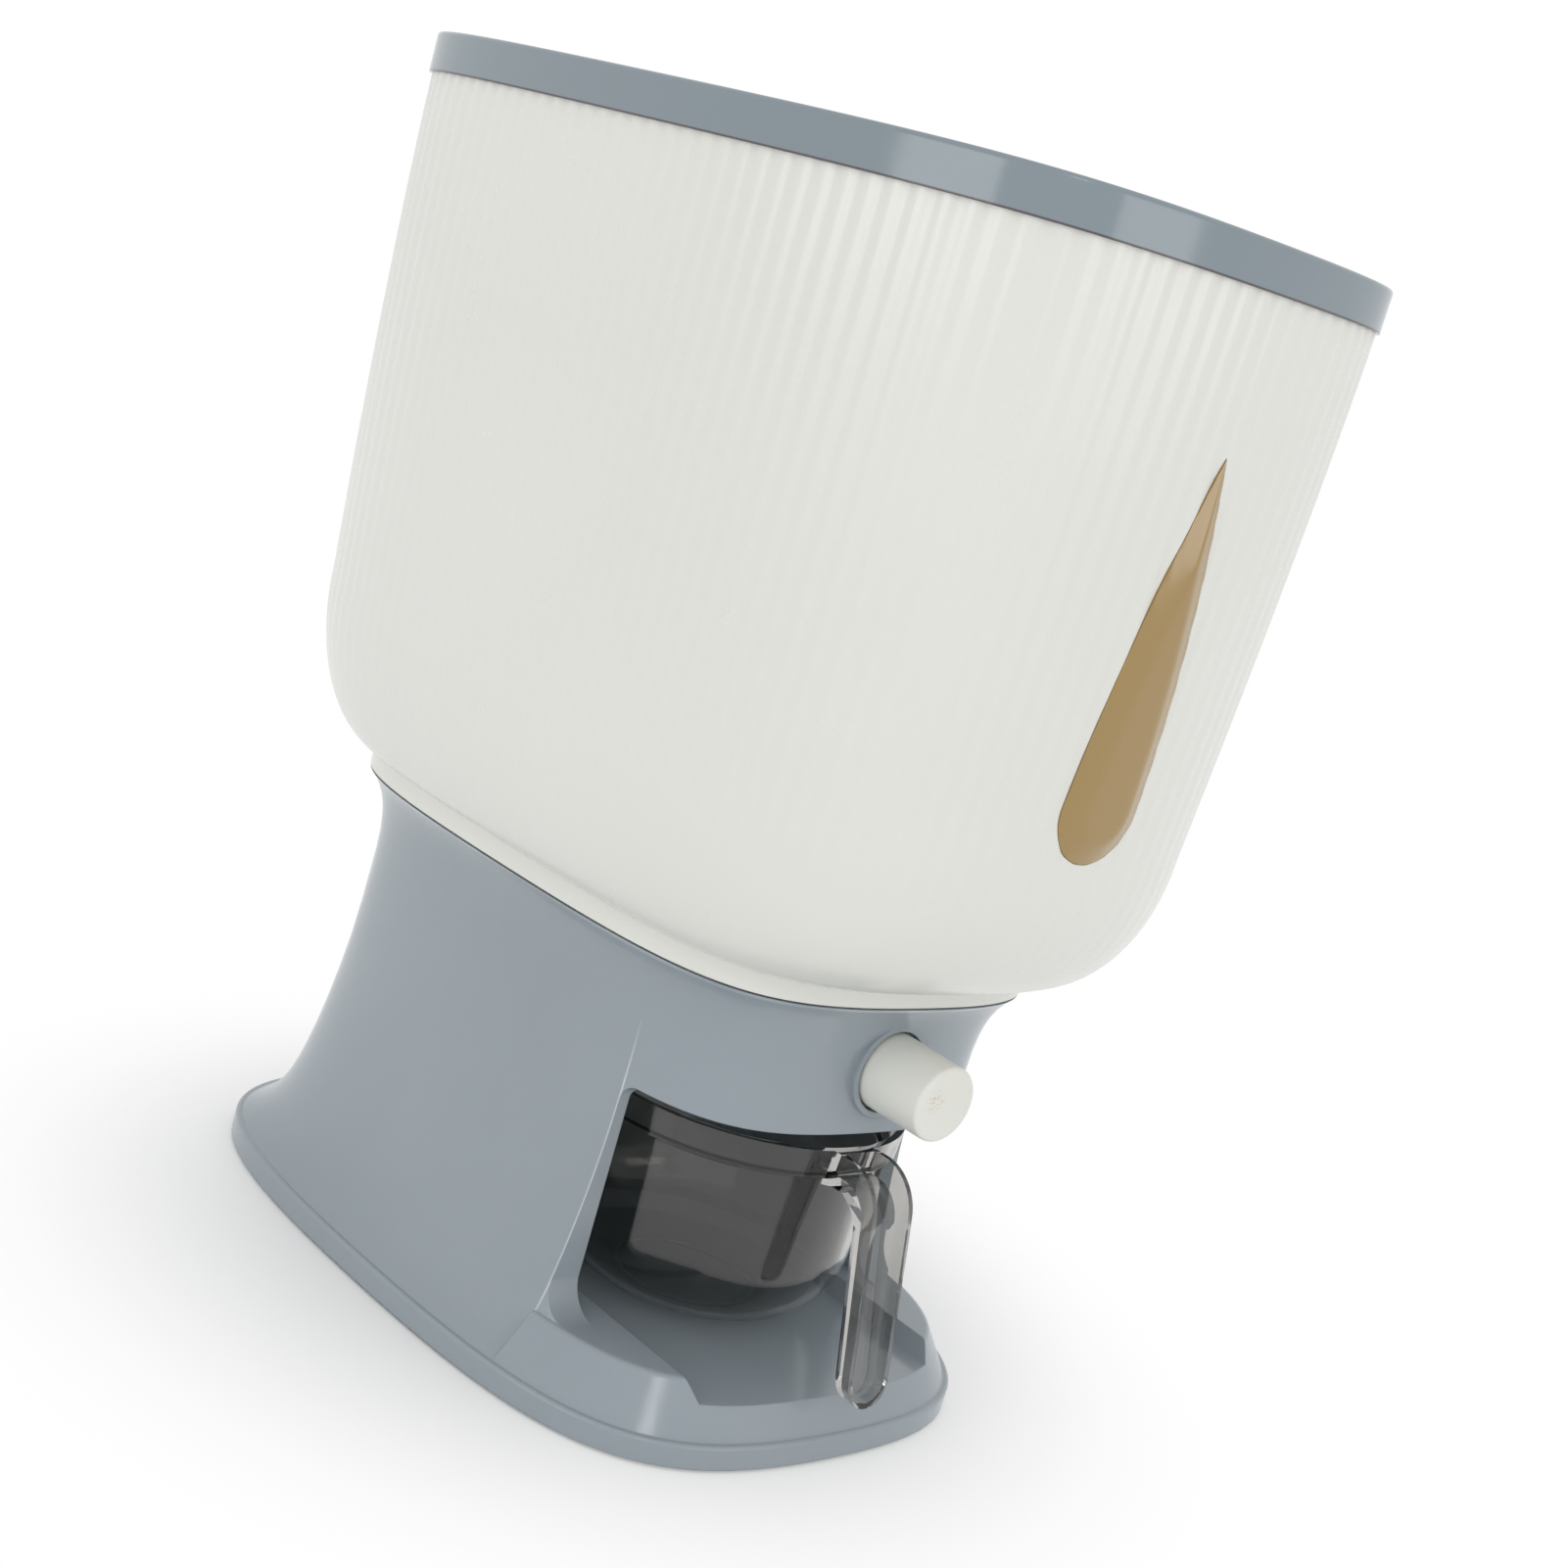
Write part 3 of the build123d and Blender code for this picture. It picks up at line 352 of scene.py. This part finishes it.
# Bottom plate, feet and screws
# The plate of matt ABS closes the base from below, and carries four rubber discs in its recesses.
# It is held by small zinc-plated screws, and screws of the same kind hold the pieces inside.
plate_shade = (0.24, 0.28, 0.31)
rubber_colour = (0.028, 0.028, 0.030)
rubber_shade = (0.045, 0.045, 0.046)
zinc_colour = (0.56, 0.56, 0.55)
zinc_shade = (0.40, 0.40, 0.41)
plate_plastic = moulded_plastic("plate_plastic", base_shade, plate_shade, 0.5, 0.1, 0.8, 0.1)
foot_rubber = moulded_plastic("foot_rubber", rubber_colour, rubber_shade, 0.85, 0.1, 1.0, 0.0)
screw_zinc = moulded_plastic("screw_zinc", zinc_colour, zinc_shade, 0.34, 0.2, 0.8, 0.0)
screw_zinc.node_tree.nodes["Principled BSDF"].inputs["Metallic"].default_value = 1.0
dress("base_bottom", plate_plastic)
for number in range(1, 5):
    dress(f"foot_{number}", foot_rubber)
for screws in ("base_screws", "housing_screws", "bucket_screws"):
    dress(screws, screw_zinc)

# Button, its guide, stem, pin and gate
# The white push button is a hollow cap in a sleeve; behind it a rod, joined by a pin to the gate,
# carries the push inwards.
button_colour = (0.775, 0.781, 0.740)
button_shade = (0.700, 0.700, 0.645)
inner_colour = (0.66, 0.66, 0.62)
inner_shade = (0.61, 0.61, 0.57)
fleck_place = (-0.0052, -0.1344, 0.1205)
fleck_colour = (0.60, 0.53, 0.40)
button_plastic = moulded_plastic("button_plastic", button_colour, button_shade, 0.38, 0.1, 0.6, 0.15)
inner_plastic = moulded_plastic("inner_plastic", inner_colour, inner_shade, 0.5, 0.1, 0.6, 0.1)
dress("button", button_plastic)
for inner in ("button_guide", "button_stem", "gate", "gate_housing", "outlet_chute"):
    dress(inner, inner_plastic)
dress("stem_pin", screw_zinc)
button_tree = button_plastic.node_tree
button_place = new_node(button_tree, "ShaderNodeTexCoord")
fleck_distance = new_node(button_tree, "ShaderNodeVectorMath", operation="DISTANCE")
fleck_distance.inputs[1].default_value = fleck_place
fleck_near = new_node(button_tree, "ShaderNodeMapRange")
fleck_near.inputs["From Min"].default_value = 0.0042
fleck_near.inputs["From Max"].default_value = 0.0018
fleck_noise = new_node(button_tree, "ShaderNodeTexNoise")
fleck_noise.inputs["Scale"].default_value = 900.0
fleck_noise.inputs["Detail"].default_value = 3.0
fleck_edge = new_node(button_tree, "ShaderNodeMapRange")
fleck_edge.inputs["From Min"].default_value = 0.5
fleck_edge.inputs["From Max"].default_value = 0.62
fleck_amount = new_node(button_tree, "ShaderNodeMath", operation="MULTIPLY")
fleck_tint = new_node(button_tree, "ShaderNodeMix", data_type="RGBA")
fleck_tint.inputs["B"].default_value = (*fleck_colour, 1.0)
button_skin = next(node for node in button_tree.nodes if node.type == "GROUP")
button_tree.links.new(button_place.outputs["Object"], fleck_distance.inputs[0])
button_tree.links.new(fleck_distance.outputs["Value"], fleck_near.inputs["Value"])
button_tree.links.new(button_place.outputs["Object"], fleck_noise.inputs["Vector"])
button_tree.links.new(fleck_noise.outputs["Fac"], fleck_edge.inputs["Value"])
button_tree.links.new(fleck_near.outputs["Result"], fleck_amount.inputs[0])
button_tree.links.new(fleck_edge.outputs["Result"], fleck_amount.inputs[1])
button_tree.links.new(fleck_amount.outputs["Value"], fleck_tint.inputs["Factor"])
button_tree.links.new(button_skin.outputs["Colour"], fleck_tint.inputs["A"])
button_tree.links.new(fleck_tint.outputs["Result"], button_tree.nodes["Principled BSDF"].inputs["Base Color"])

# Return spring
# A coil of zinc-plated steel wire round the stem, between the guide's seat and the button's boss.
# It brings the button out again. The real spring shortens as the button is pressed, but this coil moves with
# the base and keeps its length.
mm = 0.001
coil_front = -120.4 * mm
coil_back = -88.0 * mm
coil_height = 119.0 * mm
coil_radius = 7.6 * mm
coil_wire_radius = 0.6 * mm
coil_turns = 7
coil_steps = 20


def finish_piece(name, mesh, body, material, slot_name, *stands_for):
    """Makes the mesh a piece of the dispenser, which moves with its body."""
    bmesh.ops.recalc_face_normals(mesh, faces=mesh.faces)
    data = bpy.data.meshes.new(name)
    mesh.to_mesh(data)
    mesh.free()
    data.materials.append(material)
    piece = bpy.data.objects.new(name, data)
    bpy.context.scene.collection.objects.link(piece)
    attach(piece, body)
    if stands_for:
        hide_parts(*stands_for)
    return piece


coil_mesh = bmesh.new()
wire_start = Matrix.Translation((coil_radius, coil_front + coil_wire_radius, coil_height))
bmesh.ops.create_circle(coil_mesh, cap_ends=True, segments=10, radius=coil_wire_radius, matrix=wire_start)
coil_length = coil_back - coil_front
coil_climb = (coil_length - 2.0 * coil_wire_radius) / (coil_turns * coil_steps)
bmesh.ops.spin(
    coil_mesh,
    geom=list(coil_mesh.verts) + list(coil_mesh.edges) + list(coil_mesh.faces),
    cent=(0.0, 0.0, coil_height),
    axis=(0.0, 1.0, 0.0),
    dvec=(0.0, coil_climb, 0.0),
    angle=2.0 * pi * coil_turns,
    steps=coil_turns * coil_steps,
    use_merge=False,
)
coil = finish_piece("return_coil", coil_mesh, "base", screw_zinc, "screw_steel", "return_spring")
coil.data.shade_smooth()
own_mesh(coil)

# Bucket
# The white shell of polypropylene, one moulding: shallow upright flutes run all round it from under
# the lid and fade out in the rounded lower corner, above a plain neck band that stands on the base.
lid_bottom = 367.5 * mm
bucket_rim = 378.6 * mm
bucket_half_width = 100.6 * mm
bucket_half_depth = 160.45 * mm
bucket_lean = 6.1 * mm
wall_fullness = 0.848
shoulder_top = 202.0 * mm
neck_top = 149.0 * mm
neck_bottom = 141.9 * mm
neck_half_width = 77.9 * mm
neck_half_depth = 115.4 * mm
neck_fullness = 0.879
bucket_wall = 2.6 * mm
flute_count = 116
flute_points = 8
flute_depth_top = 0.65 * mm
flute_depth_low = 0.3 * mm
flute_fade_height = 44.0 * mm
notch_depth = 0.4 * mm
ring_points = flute_count * flute_points


def oblong_ring(height, half_width, half_depth, fullness, count, y=0.0):
    """Points of a level outline with full sides and round corners, evenly spaced along it."""
    steps = 240
    quarter = []
    for step in range(steps + 1):
        t = step / steps
        across = (1 - t) ** 3 + 3 * t * (1 - t) ** 2 + 3 * t * t * (1 - t) * fullness
        along = t**3 + 3 * t * t * (1 - t) + 3 * t * (1 - t) ** 2 * fullness
        quarter.append((half_width * across, half_depth * along))
    loop = quarter[:-1]
    loop += [(-x, y_) for x, y_ in reversed(quarter)][:-1]
    loop += [(-x, -y_) for x, y_ in quarter][:-1]
    loop += [(x, -y_) for x, y_ in reversed(quarter)][:-1]
    loop.append(loop[0])
    reach = [0.0]
    for (x0, y0), (x1, y1) in zip(loop, loop[1:]):
        reach.append(reach[-1] + sqrt((x1 - x0) ** 2 + (y1 - y0) ** 2))
    points = []
    place = 0
    for number in range(count):
        goal = reach[-1] * number / count
        while reach[place + 1] < goal:
            place += 1
        share = (goal - reach[place]) / (reach[place + 1] - reach[place])
        x = loop[place][0] + (loop[place + 1][0] - loop[place][0]) * share
        y_ = loop[place][1] + (loop[place + 1][1] - loop[place][1]) * share
        points.append(Vector((x, y + y_, height)))
    return points


def drawn_in(points, depths):
    """The same outline, each point moved inwards, square to the outline, by its own depth."""
    moved = []
    count = len(points)
    for number, point in enumerate(points):
        run = points[(number + 1) % count] - points[number - 1]
        inward = Vector((-run.y, run.x, 0.0)).normalized()
        moved.append(point + inward * depths[number % len(depths)])
    return moved


def ring_skin(rings, closed=False):
    """Mesh that joins level rings of equal counts, drawn out one from the other."""
    skin = bmesh.new()
    first = bmesh.ops.create_circle(skin, cap_ends=False, segments=len(rings[0]), radius=1.0)["verts"]
    order = {vertex: number for number, vertex in enumerate(first)}
    for vertex, number in order.items():
        vertex.co = rings[0][number]
    edges = list(skin.edges)
    start_edges = edges
    for ring in rings[1:]:
        drawn = bmesh.ops.extrude_edge_only(skin, edges=edges)["geom"]
        fresh = {}
        for vertex in (item for item in drawn if isinstance(item, bmesh.types.BMVert)):
            source = next(e.other_vert(vertex) for e in vertex.link_edges if e.other_vert(vertex) in order)
            fresh[vertex] = order[source]
        for vertex, number in fresh.items():
            vertex.co = ring[number]
        edges = [e for e in drawn if isinstance(e, bmesh.types.BMEdge) and all(v in fresh for v in e.verts)]
        order = fresh
    if closed:
        bmesh.ops.bridge_loops(skin, edges=start_edges + edges)
    return skin


def bucket_ring(height, inset=0.0, start=neck_top):
    """Outline of the bucket: a quarter ellipse in the lower corner, then a wall that leans in a little."""
    if height < shoulder_top:
        rise = (height - start) / (shoulder_top - start)
        swell = sqrt(max(0.0, 1.0 - (1.0 - rise) ** 2))
        lean = bucket_lean
    else:
        swell = 1.0
        lean = bucket_lean * max(0.0, (lid_bottom - height) / (lid_bottom - shoulder_top)) ** 1.5
    half_width = neck_half_width + (bucket_half_width - lean - neck_half_width) * swell - inset
    half_depth = neck_half_depth + (bucket_half_depth - lean - neck_half_depth) * swell - inset
    fullness = neck_fullness + (wall_fullness - neck_fullness) * swell
    return oblong_ring(height, half_width, half_depth, fullness, ring_points)


def fluted_ring(height):
    """Outline of the bucket with its flutes, at their depth for this height."""
    if height > shoulder_top:
        climb = (height - shoulder_top) / (lid_bottom - shoulder_top)
        depth = flute_depth_low + (flute_depth_top - flute_depth_low) * climb
    else:
        depth = flute_depth_low * max(0.0, 1.0 - (shoulder_top - height) / flute_fade_height)
    waves = [0.5 - 0.5 * sin(2.0 * pi * number / flute_points) for number in range(flute_points)]
    return drawn_in(bucket_ring(height), [depth * wave for wave in waves])


def corner_heights(start, end, turns=18):
    """Heights that climb the lower corner in even turns."""
    shares = [1.0 - cos(radians(90.0 * turn / turns)) for turn in range(turns)]
    climbs = [start + (shoulder_top - start) * share for share in shares]
    return [height for height in climbs if height < end]


bucket_floor = neck_top + 2.5 * mm
hopper_ledge = 196.0 * mm
ledge_inset = bucket_wall + 1.5 * mm
rim_inset = 1.9 * mm
lid_half_width = 101.5 * mm
lid_half_depth = 161.35 * mm
wall_steps = 14
wall_rise = lid_bottom - shoulder_top
wall_heights = [shoulder_top + wall_rise * step / wall_steps for step in range(wall_steps + 1)]


def neck_ring(height, half_width, half_depth):
    """Outline of the neck's family."""
    return oblong_ring(height, half_width, half_depth, neck_fullness, ring_points)


spigot_half_width = 70.04 * mm
spigot_half_depth = 107.9 * mm
spigot_bottom = 136.0 * mm
neck_plate_top = 144.4 * mm
bucket_rings = [neck_ring(neck_bottom, neck_half_width - 0.3 * mm, neck_half_depth - 0.3 * mm)]
bucket_rings.append(neck_ring(neck_bottom + 0.3 * mm, neck_half_width, neck_half_depth))
bucket_rings.append(neck_ring(neck_top - 0.6 * mm, neck_half_width, neck_half_depth))
corner_rings = [fluted_ring(height) for height in corner_heights(neck_top, shoulder_top)]
corner_rings[2] = drawn_in(corner_rings[2], [0.0] * 4 + [notch_depth] * 4)
bucket_rings += corner_rings
bucket_rings += [fluted_ring(height) for height in wall_heights]
rim_outside = (lid_half_width - rim_inset, lid_half_depth - rim_inset, wall_fullness, ring_points)
bucket_rings.append(oblong_ring(lid_bottom, *rim_outside))
bucket_rings.append(oblong_ring(bucket_rim, *rim_outside))
rim_inside = (bucket_half_width - bucket_wall, bucket_half_depth - bucket_wall, wall_fullness, ring_points)
bucket_rings.append(oblong_ring(bucket_rim, *rim_inside))
bucket_rings += [bucket_ring(height, bucket_wall) for height in reversed(wall_heights[::3])]
inner_shoulder = bucket_ring(shoulder_top, bucket_wall)
bucket_rings.append([Vector((point.x, point.y, hopper_ledge)) for point in inner_shoulder])
bucket_rings.append(bucket_ring(hopper_ledge, ledge_inset, bucket_floor))
pit_heights = corner_heights(bucket_floor, hopper_ledge, 9)
bucket_rings += [bucket_ring(height, ledge_inset, bucket_floor) for height in reversed(pit_heights)]
throat_hole = (19.4 * mm, 7.9 * mm, 0.96, ring_points, -51.0 * mm)
bucket_rings.append(oblong_ring(bucket_floor, *throat_hole))
bucket_rings.append(oblong_ring(neck_top, *throat_hole))
bucket_rings.append(neck_ring(neck_top, neck_half_width - bucket_wall, neck_half_depth - bucket_wall))
bucket_rings.append(neck_ring(neck_plate_top, neck_half_width - bucket_wall, neck_half_depth - bucket_wall))
spigot_wall = 2.5 * mm
spigot_inside = (spigot_half_width - spigot_wall, spigot_half_depth - spigot_wall)
bucket_rings.append(neck_ring(neck_plate_top, *spigot_inside))
bucket_rings.append(neck_ring(spigot_bottom, *spigot_inside))
bucket_rings.append(neck_ring(spigot_bottom, spigot_half_width, spigot_half_depth))
bucket_rings.append(neck_ring(neck_bottom, spigot_half_width, spigot_half_depth))

bucket_colour = (0.728, 0.733, 0.692)
bucket_shade = (0.712, 0.717, 0.675)
bucket_plastic = moulded_plastic("bucket_plastic", bucket_colour, bucket_shade, 0.25, 0.06, 0.0, 0.0)
bucket_mesh = ring_skin(bucket_rings, closed=True)
bucket = finish_piece("bucket_shell", bucket_mesh, "base", bucket_plastic, "bucket_plastic", "bucket")

window_tip = 323.0 * mm
window_bottom = 202.9 * mm
window_radius = 16.5 * mm
window_low = window_bottom + window_radius
bulge_height = 262.0 * mm
bulge_half_width = 13.0 * mm


def circle_through(first, second, third):
    """Centre and radius of the circle through three points of a plane."""
    (ax, ay), (bx, by), (cx, cy) = first, second, third
    turn = 2.0 * (ax * (by - cy) + bx * (cy - ay) + cx * (ay - by))
    a, b, c = ax * ax + ay * ay, bx * bx + by * by, cx * cx + cy * cy
    x = (a * (by - cy) + b * (cy - ay) + c * (ay - by)) / turn
    y = (a * (cx - bx) + b * (ax - cx) + c * (bx - ax)) / turn
    return x, y, sqrt((ax - x) ** 2 + (ay - y) ** 2)


flank_x, flank_z, flank_radius = circle_through(
    (window_radius, window_low), (bulge_half_width, bulge_height), (0.0, window_tip)
)


def window_ends(margin):
    """Lowest and highest point of the window's teardrop, grown by a margin."""
    return window_bottom - margin, flank_z + sqrt((flank_radius + margin) ** 2 - flank_x**2)


def window_half_width(height, margin):
    """Half width of the teardrop at a height, grown by a margin."""
    if height < window_low:
        return sqrt(max(0.0, (window_radius + margin) ** 2 - (window_low - height) ** 2))
    return max(0.0, flank_x + sqrt((flank_radius + margin) ** 2 - (height - flank_z) ** 2))


def window_outline(margin, steps):
    """Points round the teardrop, from its lowest point up the right side and down the left."""
    low, high = window_ends(margin)
    heights = [low + (high - low) * (0.5 - 0.5 * cos(pi * step / steps)) for step in range(steps + 1)]
    right_side = [(window_half_width(height, margin), height) for height in heights]
    return right_side + [(-x, height) for x, height in reversed(right_side[1:-1])]


opening = window_outline(0.0, 70)
cutter_mesh = bmesh.new()
cutter_rim = bmesh.ops.create_circle(cutter_mesh, cap_ends=True, segments=len(opening), radius=1.0)["verts"]
for vertex, (x, height) in zip(cutter_rim, opening):
    vertex.co = (x, -170.0 * mm, height)
drawn = bmesh.ops.extrude_face_region(cutter_mesh, geom=list(cutter_mesh.faces))["geom"]
for vertex in (item for item in drawn if isinstance(item, bmesh.types.BMVert)):
    vertex.co.y = -140.0 * mm
bmesh.ops.recalc_face_normals(cutter_mesh, faces=cutter_mesh.faces)
cutter_data = bpy.data.meshes.new("window_cutter")
cutter_mesh.to_mesh(cutter_data)
cutter_mesh.free()
cutter = bpy.data.objects.new("window_cutter", cutter_data)
bpy.context.scene.collection.objects.link(cutter)
cut = bucket.modifiers.new("window_opening", "BOOLEAN")
cut.operation = "DIFFERENCE"
cut.solver = "EXACT"
cut.object = cutter
cut_shell = bpy.data.meshes.new_from_object(bucket.evaluated_get(bpy.context.evaluated_depsgraph_get()))
bucket.modifiers.remove(cut)
bucket.data = cut_shell
bpy.data.objects.remove(cutter)
bucket.data.shade_smooth()
bucket.data.set_sharp_from_angle(angle=radians(38.0))

# Hopper and its seal
# The sloping white floor is a moulding of its own that lies on the ledge inside the bucket.
# A rubber ring seals its throat.
dress("hopper", bucket_plastic)
dress("throat_seal", foot_rubber)

# Window
# A teardrop lens of tan styrene, through which the rice is seen. It is pushed into the bucket's
# opening from inside and glued on its flange, and its face is crowned like a drop of glaze.
window_fit = 0.15 * mm
crown_reach = 7.5 * mm
crown_height = 2.75 * mm
crown_least = 0.5 * mm
crown_share = 0.95
crown_power = 1.2
flange_reach = 3.65 * mm
flange_front = 2.7 * mm
flange_back = 4.1 * mm
window_colour = (0.335, 0.220, 0.075)
window_shade = (0.334, 0.216, 0.070)
styrene_ior = 1.59


def wall_front(x, height):
    """Distance from the middle to the bucket's plain front at a place."""
    lean = bucket_lean * max(0.0, (lid_bottom - height) / (lid_bottom - shoulder_top)) ** 1.5
    low, high = 0.0, 1.0
    halvings = 40
    for _ in range(halvings):
        t = 0.5 * (low + high)
        across = (1 - t) ** 3 + 3 * t * (1 - t) ** 2 + 3 * t * t * (1 - t) * wall_fullness
        if (bucket_half_width - lean) * across > abs(x):
            low = t
        else:
            high = t
    along = t**3 + 3 * t * t * (1 - t) + 3 * t * (1 - t) ** 2 * wall_fullness
    return (bucket_half_depth - lean) * along


def crown(x, height, rim):
    """How far the lens stands out of the bucket's front at a place: nothing at its rim."""
    reach = min(sqrt((x - rx) ** 2 + (height - rz) ** 2) for rx, rz in rim)
    full = min(crown_reach, max(crown_least, crown_share * window_half_width(height, 0.0)))
    share = max(0.0, 1.0 - reach / full)
    return crown_height * full / crown_reach * (1.0 - share**crown_power)


lens_rim = window_outline(-window_fit, 160)
lens_low, lens_high = window_ends(-window_fit)
lens_mesh = bmesh.new()
bmesh.ops.create_grid(lens_mesh, x_segments=28, y_segments=72, size=1.0)
for vertex in lens_mesh.verts:
    height = lens_low + (lens_high - lens_low) * (0.5 - 0.5 * cos(pi * (vertex.co.y + 1.0) / 2.0))
    x = window_half_width(height, -window_fit) * sin(pi * vertex.co.x / 2.0)
    vertex.co = (x, -wall_front(x, height) - crown(x, height, lens_rim), height)
bmesh.ops.remove_doubles(lens_mesh, verts=lens_mesh.verts, dist=0.00002)
rim_edges = [edge for edge in lens_mesh.edges if edge.is_boundary]
for reach, depth in ((0.0, flange_front), (flange_reach, flange_front), (flange_reach, flange_back)):
    drawn = bmesh.ops.extrude_edge_only(lens_mesh, edges=rim_edges)["geom"]
    rim_edges = [item for item in drawn if isinstance(item, bmesh.types.BMEdge) and item.is_boundary]
    for vertex in (item for item in drawn if isinstance(item, bmesh.types.BMVert)):
        if reach and depth == flange_front:
            middle = min(max(vertex.co.z, window_low), window_low + 60.0 * mm)
            out = Vector((vertex.co.x, 0.0, vertex.co.z - middle))
            vertex.co += out.normalized() * reach
        vertex.co.y = depth - wall_front(vertex.co.x, vertex.co.z)
bmesh.ops.holes_fill(lens_mesh, edges=rim_edges)
bmesh.ops.triangulate(lens_mesh, faces=[face for face in lens_mesh.faces if len(face.verts) > 4])
window_plastic = moulded_plastic("window_plastic", window_colour, window_shade, 0.12, 0.04, 0.0, 0.0)
window_plastic.node_tree.nodes["Principled BSDF"].inputs["IOR"].default_value = styrene_ior
window = finish_piece("window_lens", lens_mesh, "base", window_plastic, "window_plastic", "window")
window.data.shade_smooth()
window.data.set_sharp_from_angle(angle=radians(50.0))

# Cup
# The measuring cup stands on its foot ring in the channel: one thin moulding of smoky clear styrene,
# with a trough for a handle. It isn't fixed, and slides out to the front.
cup_colour = (0.515, 0.508, 0.492)
cup_veil_colour = (0.80, 0.80, 0.79)
cup_clear = bpy.data.materials.new("cup_clear")
cup_clear.use_nodes = True
cup_shader = cup_clear.node_tree.nodes["Principled BSDF"]
cup_shader.inputs["Base Color"].default_value = (*cup_colour, 1.0)
cup_shader.inputs["Roughness"].default_value = 0.02
cup_shader.inputs["Transmission Weight"].default_value = 1.0
cup_shader.inputs["IOR"].default_value = styrene_ior
cup_tree = cup_clear.node_tree
cup_rays = new_node(cup_tree, "ShaderNodeLightPath")
cup_lit = new_node(cup_tree, "ShaderNodeMath", operation="MAXIMUM")
cup_veil = new_node(cup_tree, "ShaderNodeBsdfTransparent")
cup_veil.inputs["Color"].default_value = (*cup_veil_colour, 1.0)
cup_mix = new_node(cup_tree, "ShaderNodeMixShader")
cup_tree.links.new(cup_rays.outputs["Is Shadow Ray"], cup_lit.inputs[0])
cup_tree.links.new(cup_rays.outputs["Is Diffuse Ray"], cup_lit.inputs[1])
cup_tree.links.new(cup_lit.outputs["Value"], cup_mix.inputs["Fac"])
cup_tree.links.new(cup_shader.outputs["BSDF"], cup_mix.inputs[1])
cup_tree.links.new(cup_veil.outputs["BSDF"], cup_mix.inputs[2])
cup_tree.links.new(cup_mix.outputs["Shader"], cup_tree.nodes["Material Output"].inputs["Surface"])
dress("cup", cup_clear)

# Lid and its seal
# The blue-grey lid, a glossy ABS moulding, drops over the bucket's rim; a soft ring in its plug keeps
# the rice dry. A painted shadow, a thin dark line, marks its lower edge, and the same dark paint covers the
# plug below that edge too.
lid_colour = (0.218, 0.265, 0.294)
lid_shade = (0.209, 0.255, 0.283)
lid_plastic = moulded_plastic("lid_plastic", lid_colour, lid_shade, 0.14, 0.05, 0.2, 0.04, 0.0006)
# Dark colour of the painted shadow along the lid's lower edge.
lid_painted_shadow_colour = (0.095, 0.080, 0.090)
lid_tree = lid_plastic.node_tree
lid_place = new_node(lid_tree, "ShaderNodeTexCoord")
lid_axes = new_node(lid_tree, "ShaderNodeSeparateXYZ")
# Painted shadow: full up to 0.4 mm above the lid's lower edge, fading out by 0.7 mm, and full on the plug
# below.
lid_painted_shadow_mask = new_node(lid_tree, "ShaderNodeMapRange")
lid_painted_shadow_mask.inputs["From Min"].default_value = lid_bottom + 0.7 * mm
lid_painted_shadow_mask.inputs["From Max"].default_value = lid_bottom + 0.4 * mm
lid_shadow = new_node(lid_tree, "ShaderNodeMix", data_type="RGBA")
lid_shadow.inputs["B"].default_value = (*lid_painted_shadow_colour, 1.0)
lid_skin = next(node for node in lid_tree.nodes if node.type == "GROUP")
lid_tree.links.new(lid_place.outputs["Object"], lid_axes.inputs["Vector"])
lid_tree.links.new(lid_axes.outputs["Z"], lid_painted_shadow_mask.inputs["Value"])
lid_tree.links.new(lid_painted_shadow_mask.outputs["Result"], lid_shadow.inputs["Factor"])
lid_tree.links.new(lid_skin.outputs["Colour"], lid_shadow.inputs["A"])
lid_tree.links.new(lid_shadow.outputs["Result"], lid_tree.nodes["Principled BSDF"].inputs["Base Color"])
dress("lid", lid_plastic)
dress("lid_seal", inner_plastic)
